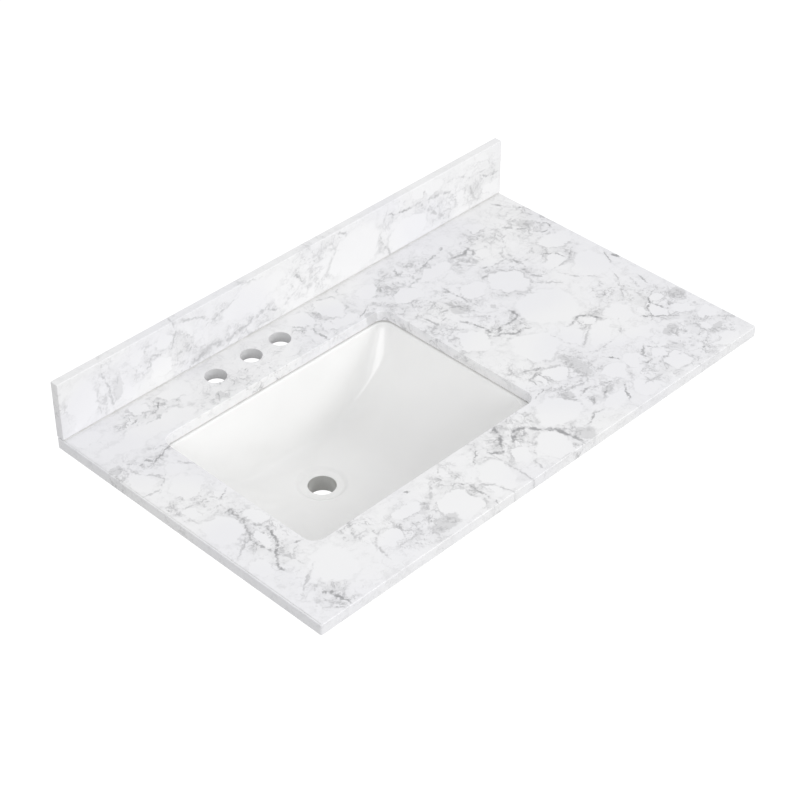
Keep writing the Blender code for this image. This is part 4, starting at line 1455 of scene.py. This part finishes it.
def make_fittings():
    """The anchors, studs, clips, washers and wing nuts round the flange."""
    fittings = bpy.context.scene.vanity_fittings
    zinc = zinc_plate(fittings)
    brass = turned_brass(fittings)
    anchor = add_object("anchor", anchor_shape(*fitting_box("anchor")), [brass])
    place_copies(anchor, "anchor")
    stud = add_object("stud", stud_shape(*fitting_box("stud"), fittings.thread_pitch), [zinc])
    place_copies(stud, "stud")
    clip = add_object("clip", clip_shape(*fitting_box("clip")), [zinc])
    carve(clip, clip_slot(*fitting_box("clip")))
    ease_edges(clip, fittings.worn_edge, worn_edge_steps)
    place_copies(clip, "clip")
    washer = add_object("washer", washer_shape(*fitting_box("washer")), [zinc])
    place_copies(washer, "washer")
    low, high = fitting_box("wing_nut")
    nut = add_object("wing_nut", nut_hub(high), [zinc])
    for side in (1, -1):
        carve(nut, wing_shape(high, side), "UNION")
    carve(nut, nut_bore(low, high))
    cast_round(nut, fittings.cast_grain)
    place_copies(nut, "wing_nut")


def add_softbox(name, power, place, width, height):
    """A rectangular lamp that faces the top."""
    lamp = bpy.data.lights.new(name, "AREA")
    lamp.shape = "RECTANGLE"
    lamp.size = width
    lamp.size_y = height
    lamp.energy = power
    stand = bpy.data.objects.new(name, lamp)
    turn = (Vector(lamp_target) - Vector(place)).to_track_quat("-Z", "Y")
    stand.matrix_world = Matrix.Translation(place) @ turn.to_matrix().to_4x4()
    bpy.context.scene.collection.objects.link(stand)
    return stand


def add_strip(name, power, lamp, mirrors):
    """A long narrow lamp that lights nothing, and only shows in the pieces of a collection."""
    strip = add_softbox(name, power, *lamp)
    strip.visible_diffuse = False
    strip.light_linking.receiver_collection = mirrors


def seen_directly(tree):
    """One for rays from the camera, off a shiny surface or through a clear one, else nothing."""
    rays = add_node(tree, "LightPath")
    shown = (rays["Is Camera Ray"], rays["Is Glossy Ray"])
    shown = (add_node(tree, "Math", shown, **larger)[0], rays["Is Transmission Ray"])
    return add_node(tree, "Math", shown, **larger)[0]


def make_camera():
    """The camera where the photograph was taken from, with its own lens."""
    lens = bpy.data.cameras.new("camera")
    lens.sensor_width = camera_film_mm
    lens.lens = camera_lens_mm
    lens.clip_end = camera_reach
    camera = bpy.data.objects.new("camera", lens)
    right, up, back = (Vector(way) for way in (camera_right, camera_up, camera_back))
    turn = Matrix((right, up, back)).transposed().to_4x4()
    camera.matrix_world = Matrix.Translation(camera_place) @ turn
    bpy.context.scene.collection.objects.link(camera)
    bpy.context.scene.camera = camera


def make_floor():
    """A pale floor at the foot of a vanity, white to the eye but for the top's soft shadow.

    From below it is clear, so that the underside of the top can be looked at too.
    """
    stage = bpy.context.scene.vanity_stage
    shape = bmesh.new()
    place = Matrix.Translation((0, 0, -stage.floor_drop))
    bmesh.ops.create_grid(shape, x_segments=1, y_segments=1, size=floor_half_width, matrix=place)
    finish = bpy.data.materials.new("pale_floor")
    finish.use_nodes = True
    tree = finish.node_tree
    tree.nodes.remove(tree.nodes["Principled BSDF"])
    paint = add_node(tree, "BsdfDiffuse", {"Color": stage.floor_paint})[0]
    shaded = add_node(tree, "BsdfDiffuse", {"Color": stage.floor_shade})[0]
    glow = add_node(tree, "Emission", {"Strength": stage.floor_glow})[0]
    bright = add_node(tree, "AddShader", (shaded, glow))[0]
    mixed = add_node(tree, "MixShader", (seen_directly(tree), paint, bright))[0]
    under = add_node(tree, "NewGeometry")["Backfacing"]
    clear = add_node(tree, "BsdfTransparent")[0]
    one_sided = add_node(tree, "MixShader", (under, mixed, clear))[0]
    tree.links.new(one_sided, tree.nodes["Material Output"].inputs["Surface"])
    floor = add_object("floor", shape, [finish])


def make_world():
    """Even light from all round, and a white surround where it is seen directly."""
    stage = bpy.context.scene.vanity_stage
    world = bpy.data.worlds.new("studio")
    bpy.context.scene.world = world
    world.use_nodes = True
    tree = world.node_tree
    around = tree.nodes["Background"]
    around.inputs["Color"].default_value = stage.sky
    around.inputs["Strength"].default_value = stage.sky_strength
    white = add_node(tree, "Background", {"Color": (1, 1, 1, 1), "Strength": 1})[0]
    mixed = add_node(tree, "MixShader", (seen_directly(tree), around.outputs[0], white))[0]
    tree.links.new(mixed, tree.nodes["World Output"].inputs["Surface"])


def number(name, description, default, unit="LENGTH"):
    """A setting that is a number: a length in metres, unless another unit is given."""
    return bpy.props.FloatProperty(
        name=name, description=description, default=default, unit=unit, precision=6
    )


def tone(name, description, code):
    """A setting that is a colour."""
    default = colour(code)
    return bpy.props.FloatVectorProperty(
        name=name, description=description, default=default, subtype="COLOR", size=4
    )


class VanityStone(bpy.types.PropertyGroup):
    """Sizes and colours of the marble."""

    arris: number(
        "Arris", "Width of the eased edge round the slab, its cut-out and the backsplash", 0.0015
    )
    hole_arris: number("Hole arris", "Width of the eased edge round the drilled holes", 0.0004)
    broad_wander: number(
        "Broad wander", "How far, in mm, the veins stray over a hand's breadth", 40, "NONE"
    )
    fine_wander: number(
        "Fine wander", "How far, in mm, the veins stray over a finger's breadth", 19, "NONE"
    )
    ground: tone("Ground", "White of the marble", "#f3f3f3")
    cool_ground: tone("Cool ground", "White of the marble where it turns cooler", "#efeff1")
    patch_grey: tone("Patches", "Colour that the translucent patches tend to", "#8f8f8f")
    vein_grey: tone("Veins", "Colour that the grey veins tend to", "#7a7a7c")
    vein_dark: tone("Dark veins", "Colour of the darkest veins", "#8a8a8c")
    # Darker than the sawn dust: drilling dust, and also painted shade for the dim insides of the
    # holes
    drilled_dust_and_painted_shade: tone("Drilled dust", "Dust ground into the walls of the drilled holes", "#c6c6c7")
    sawn_dust: tone("Sawn faces", "Pale dust that sawing leaves on unpolished faces", "#dfdfe0")


class VanityChina(bpy.types.PropertyGroup):
    """Sizes and colours of the basin."""

    overflow_lip: number("Overflow lip", "Radius of the glazed edge round its slot", 0.0025)
    drain_lip: number("Drain lip", "Radius of the glazed edge round the drain hole", 0.002)
    glaze_waviness: number("Glaze waviness", "Height of the slow waves in the glaze", 0.00025)
    glaze: tone("Glaze", "White of the glazed china", "#f6f6f5")
    thick_glaze: tone("Thick glaze", "White of the china where the glaze is thicker", "#f4f4f3")
    # The two outlet colours are partly thinner glaze and partly painted shade: the bore is darkened
    # for the dark seen down the drain hole
    outlet_grey_and_painted_shade: tone("Outlet glaze", "Drain's bore, where the clay greys thin glaze", "#c6c6c3")
    outlet_dark_painted_shade: tone("Outlet shade", "Drain's bore, where almost no glaze reached", "#b2b2ae")
    bare: tone("Bare china", "Cream of the unglazed china", "#e6e1d6")
    bare_shade: tone("Bare china shade", "Cream of it where handling has marked it", "#d9d3c6")


class VanityFittings(bpy.types.PropertyGroup):
    """Sizes and colours of the sealant and the basin clips."""

    bead_setback: number("Bead setback", "How far the sealant lies back from the cut-out", 0.0015)
    bead_hollow: number("Bead hollow", "How far the faces of the beads are drawn in", 0.0004)
    bed_setback: number("Bed setback", "How far the bed lies behind the backsplash's face", 0.0003)
    thread_pitch: number("Thread pitch", "Rise of the studs' thread in one turn", 0.001)
    worn_edge: number("Worn edge", "Rounding that barrelling leaves on the pressed clips", 0.0003)
    cast_grain: number("Cast grain", "How finely the cast wing nuts are divided", 0.0005)
    white_silicone: tone("White silicone", "Adhesive matched to the marble", "#f4f4f4")
    silicone: tone("Silicone", "Milky colour of the cured silicone", "#d3d2cd")
    silicone_shade: tone("Silicone shade", "Silicone where it is clearest", "#c2c1bb")
    zinc: tone("Zinc", "Colour of the zinc plate", "#d0d2d4")
    zinc_shade: tone("Zinc shade", "Colour of the zinc plate where it has clouded", "#b4b6b6")
    brass: tone("Brass", "Colour of the brass", "#d9b56c")
    brass_shade: tone("Brass shade", "Colour of the brass where it has dulled", "#b08d4c")


class VanityStage(bpy.types.PropertyGroup):
    """Lamps, surround and floor."""

    floor_drop: number("Floor drop", "Depth of the floor below the slab's underside", 0.86)
    sky_strength: number("Surround", "Strength of the light from all round", 1.04, "NONE")
    right_power: number("Right lamp", "Softbox in front on the right", 102, "POWER")
    left_power: number("Left lamp", "Softbox in front on the left", 14.5, "POWER")
    low_power: number("Low lamp", "Softbox that stands low in front", 9, "POWER")
    left_strip_power: number("Left strip", "Narrow lamp, a streak in the glaze", 8.5, "POWER")
    front_strip_power: number("Front strip", "Narrow lamp that carries the streak on", 7, "POWER")
    floor_glow: number("Floor glow", "Share of its white that no shadow takes away", 0.86, "NONE")
    sky: tone("Surround colour", "Colour of the light from all round", "#e0e0e1")
    floor_paint: tone("Floor paint", "Colour with which the floor lights the underside", "#a8a8a8")
    floor_shade: tone("Floor shade", "The floor's white that the shadow takes away", "#8c8c8c")


class VANITY_OT_stage(bpy.types.Operator):
    """Set up the camera, the softboxes, the surround and the floor"""

    bl_idname = "vanity.stage"
    bl_label = "Stage"

    def execute(self, context):
        stage = context.scene.vanity_stage
        context.scene.view_settings.view_transform = "Standard"
        make_camera()
        make_world()
        make_floor()
        right = add_softbox("right_softbox", stage.right_power, *right_lamp)
        left = add_softbox("left_softbox", stage.left_power, *left_lamp)
        add_softbox("low_softbox", stage.low_power, *low_lamp)
        right.visible_glossy = False
        left.visible_glossy = False
        china = bpy.data.collections.new("glazed_pieces")
        china.objects.link(bpy.data.objects["china_basin"])
        add_strip("left_strip", stage.left_strip_power, left_strip, china)
        add_strip("front_strip", stage.front_strip_power, front_strip, china)
        return {"FINISHED"}


class VANITY_OT_slab(bpy.types.Operator):
    """Make the marble slab"""

    bl_idname = "vanity.slab"
    bl_label = "Slab"

    def execute(self, context):
        make_slab()
        return {"FINISHED"}


class VANITY_OT_backsplash(bpy.types.Operator):
    """Make the marble backsplash"""

    bl_idname = "vanity.backsplash"
    bl_label = "Backsplash"

    def execute(self, context):
        make_backsplash()
        return {"FINISHED"}


class VANITY_OT_basin(bpy.types.Operator):
    """Make the china basin"""

    bl_idname = "vanity.basin"
    bl_label = "Basin"

    def execute(self, context):
        make_basin()
        return {"FINISHED"}


class VANITY_OT_seals(bpy.types.Operator):
    """Make the silicone under the slab and under the backsplash"""

    bl_idname = "vanity.seals"
    bl_label = "Seals"

    def execute(self, context):
        make_seals()
        return {"FINISHED"}


class VANITY_OT_fittings(bpy.types.Operator):
    """Make the clips that hold the basin, with their anchors, studs, washers and wing nuts"""

    bl_idname = "vanity.fittings"
    bl_label = "Fittings"

    def execute(self, context):
        make_fittings()
        return {"FINISHED"}


class VANITY_PT_panel(bpy.types.Panel):
    """The vanity top's pieces and settings"""

    bl_label = "Vanity Sink Top"
    bl_space_type = "VIEW_3D"
    bl_region_type = "UI"
    bl_category = "Vanity"

    def draw(self, context):
        for operator in operators:
            self.layout.operator(operator.bl_idname)
        for name in groups:
            settings = getattr(context.scene, name)
            box = self.layout.box()
            box.label(text=name.replace("_", " ").title())
            for setting in type(settings).__annotations__:
                box.prop(settings, setting)


operators = (
    VANITY_OT_slab,
    VANITY_OT_backsplash,
    VANITY_OT_basin,
    VANITY_OT_seals,
    VANITY_OT_fittings,
    VANITY_OT_stage,
)
groups = {
    "vanity_stone": VanityStone,
    "vanity_china": VanityChina,
    "vanity_fittings": VanityFittings,
    "vanity_stage": VanityStage,
}


def register():
    """Add the settings, the operators and the panel to Blender."""
    for name, group in groups.items():
        bpy.utils.register_class(group)
        setattr(bpy.types.Scene, name, bpy.props.PointerProperty(type=group))
    for made in (*operators, VANITY_PT_panel):
        bpy.utils.register_class(made)


def unregister():
    """Take the panel, the operators and the settings out of Blender again."""
    for made in (VANITY_PT_panel, *reversed(operators)):
        bpy.utils.unregister_class(made)
    for name, group in reversed(groups.items()):
        delattr(bpy.types.Scene, name)
        bpy.utils.unregister_class(group)


def main():
    """Make every piece and the stage."""
    register()
    bpy.ops.vanity.slab()
    bpy.ops.vanity.backsplash()
    bpy.ops.vanity.basin()
    bpy.ops.vanity.seals()
    bpy.ops.vanity.fittings()
    bpy.ops.vanity.stage()


if __name__ == "__main__":
    main()
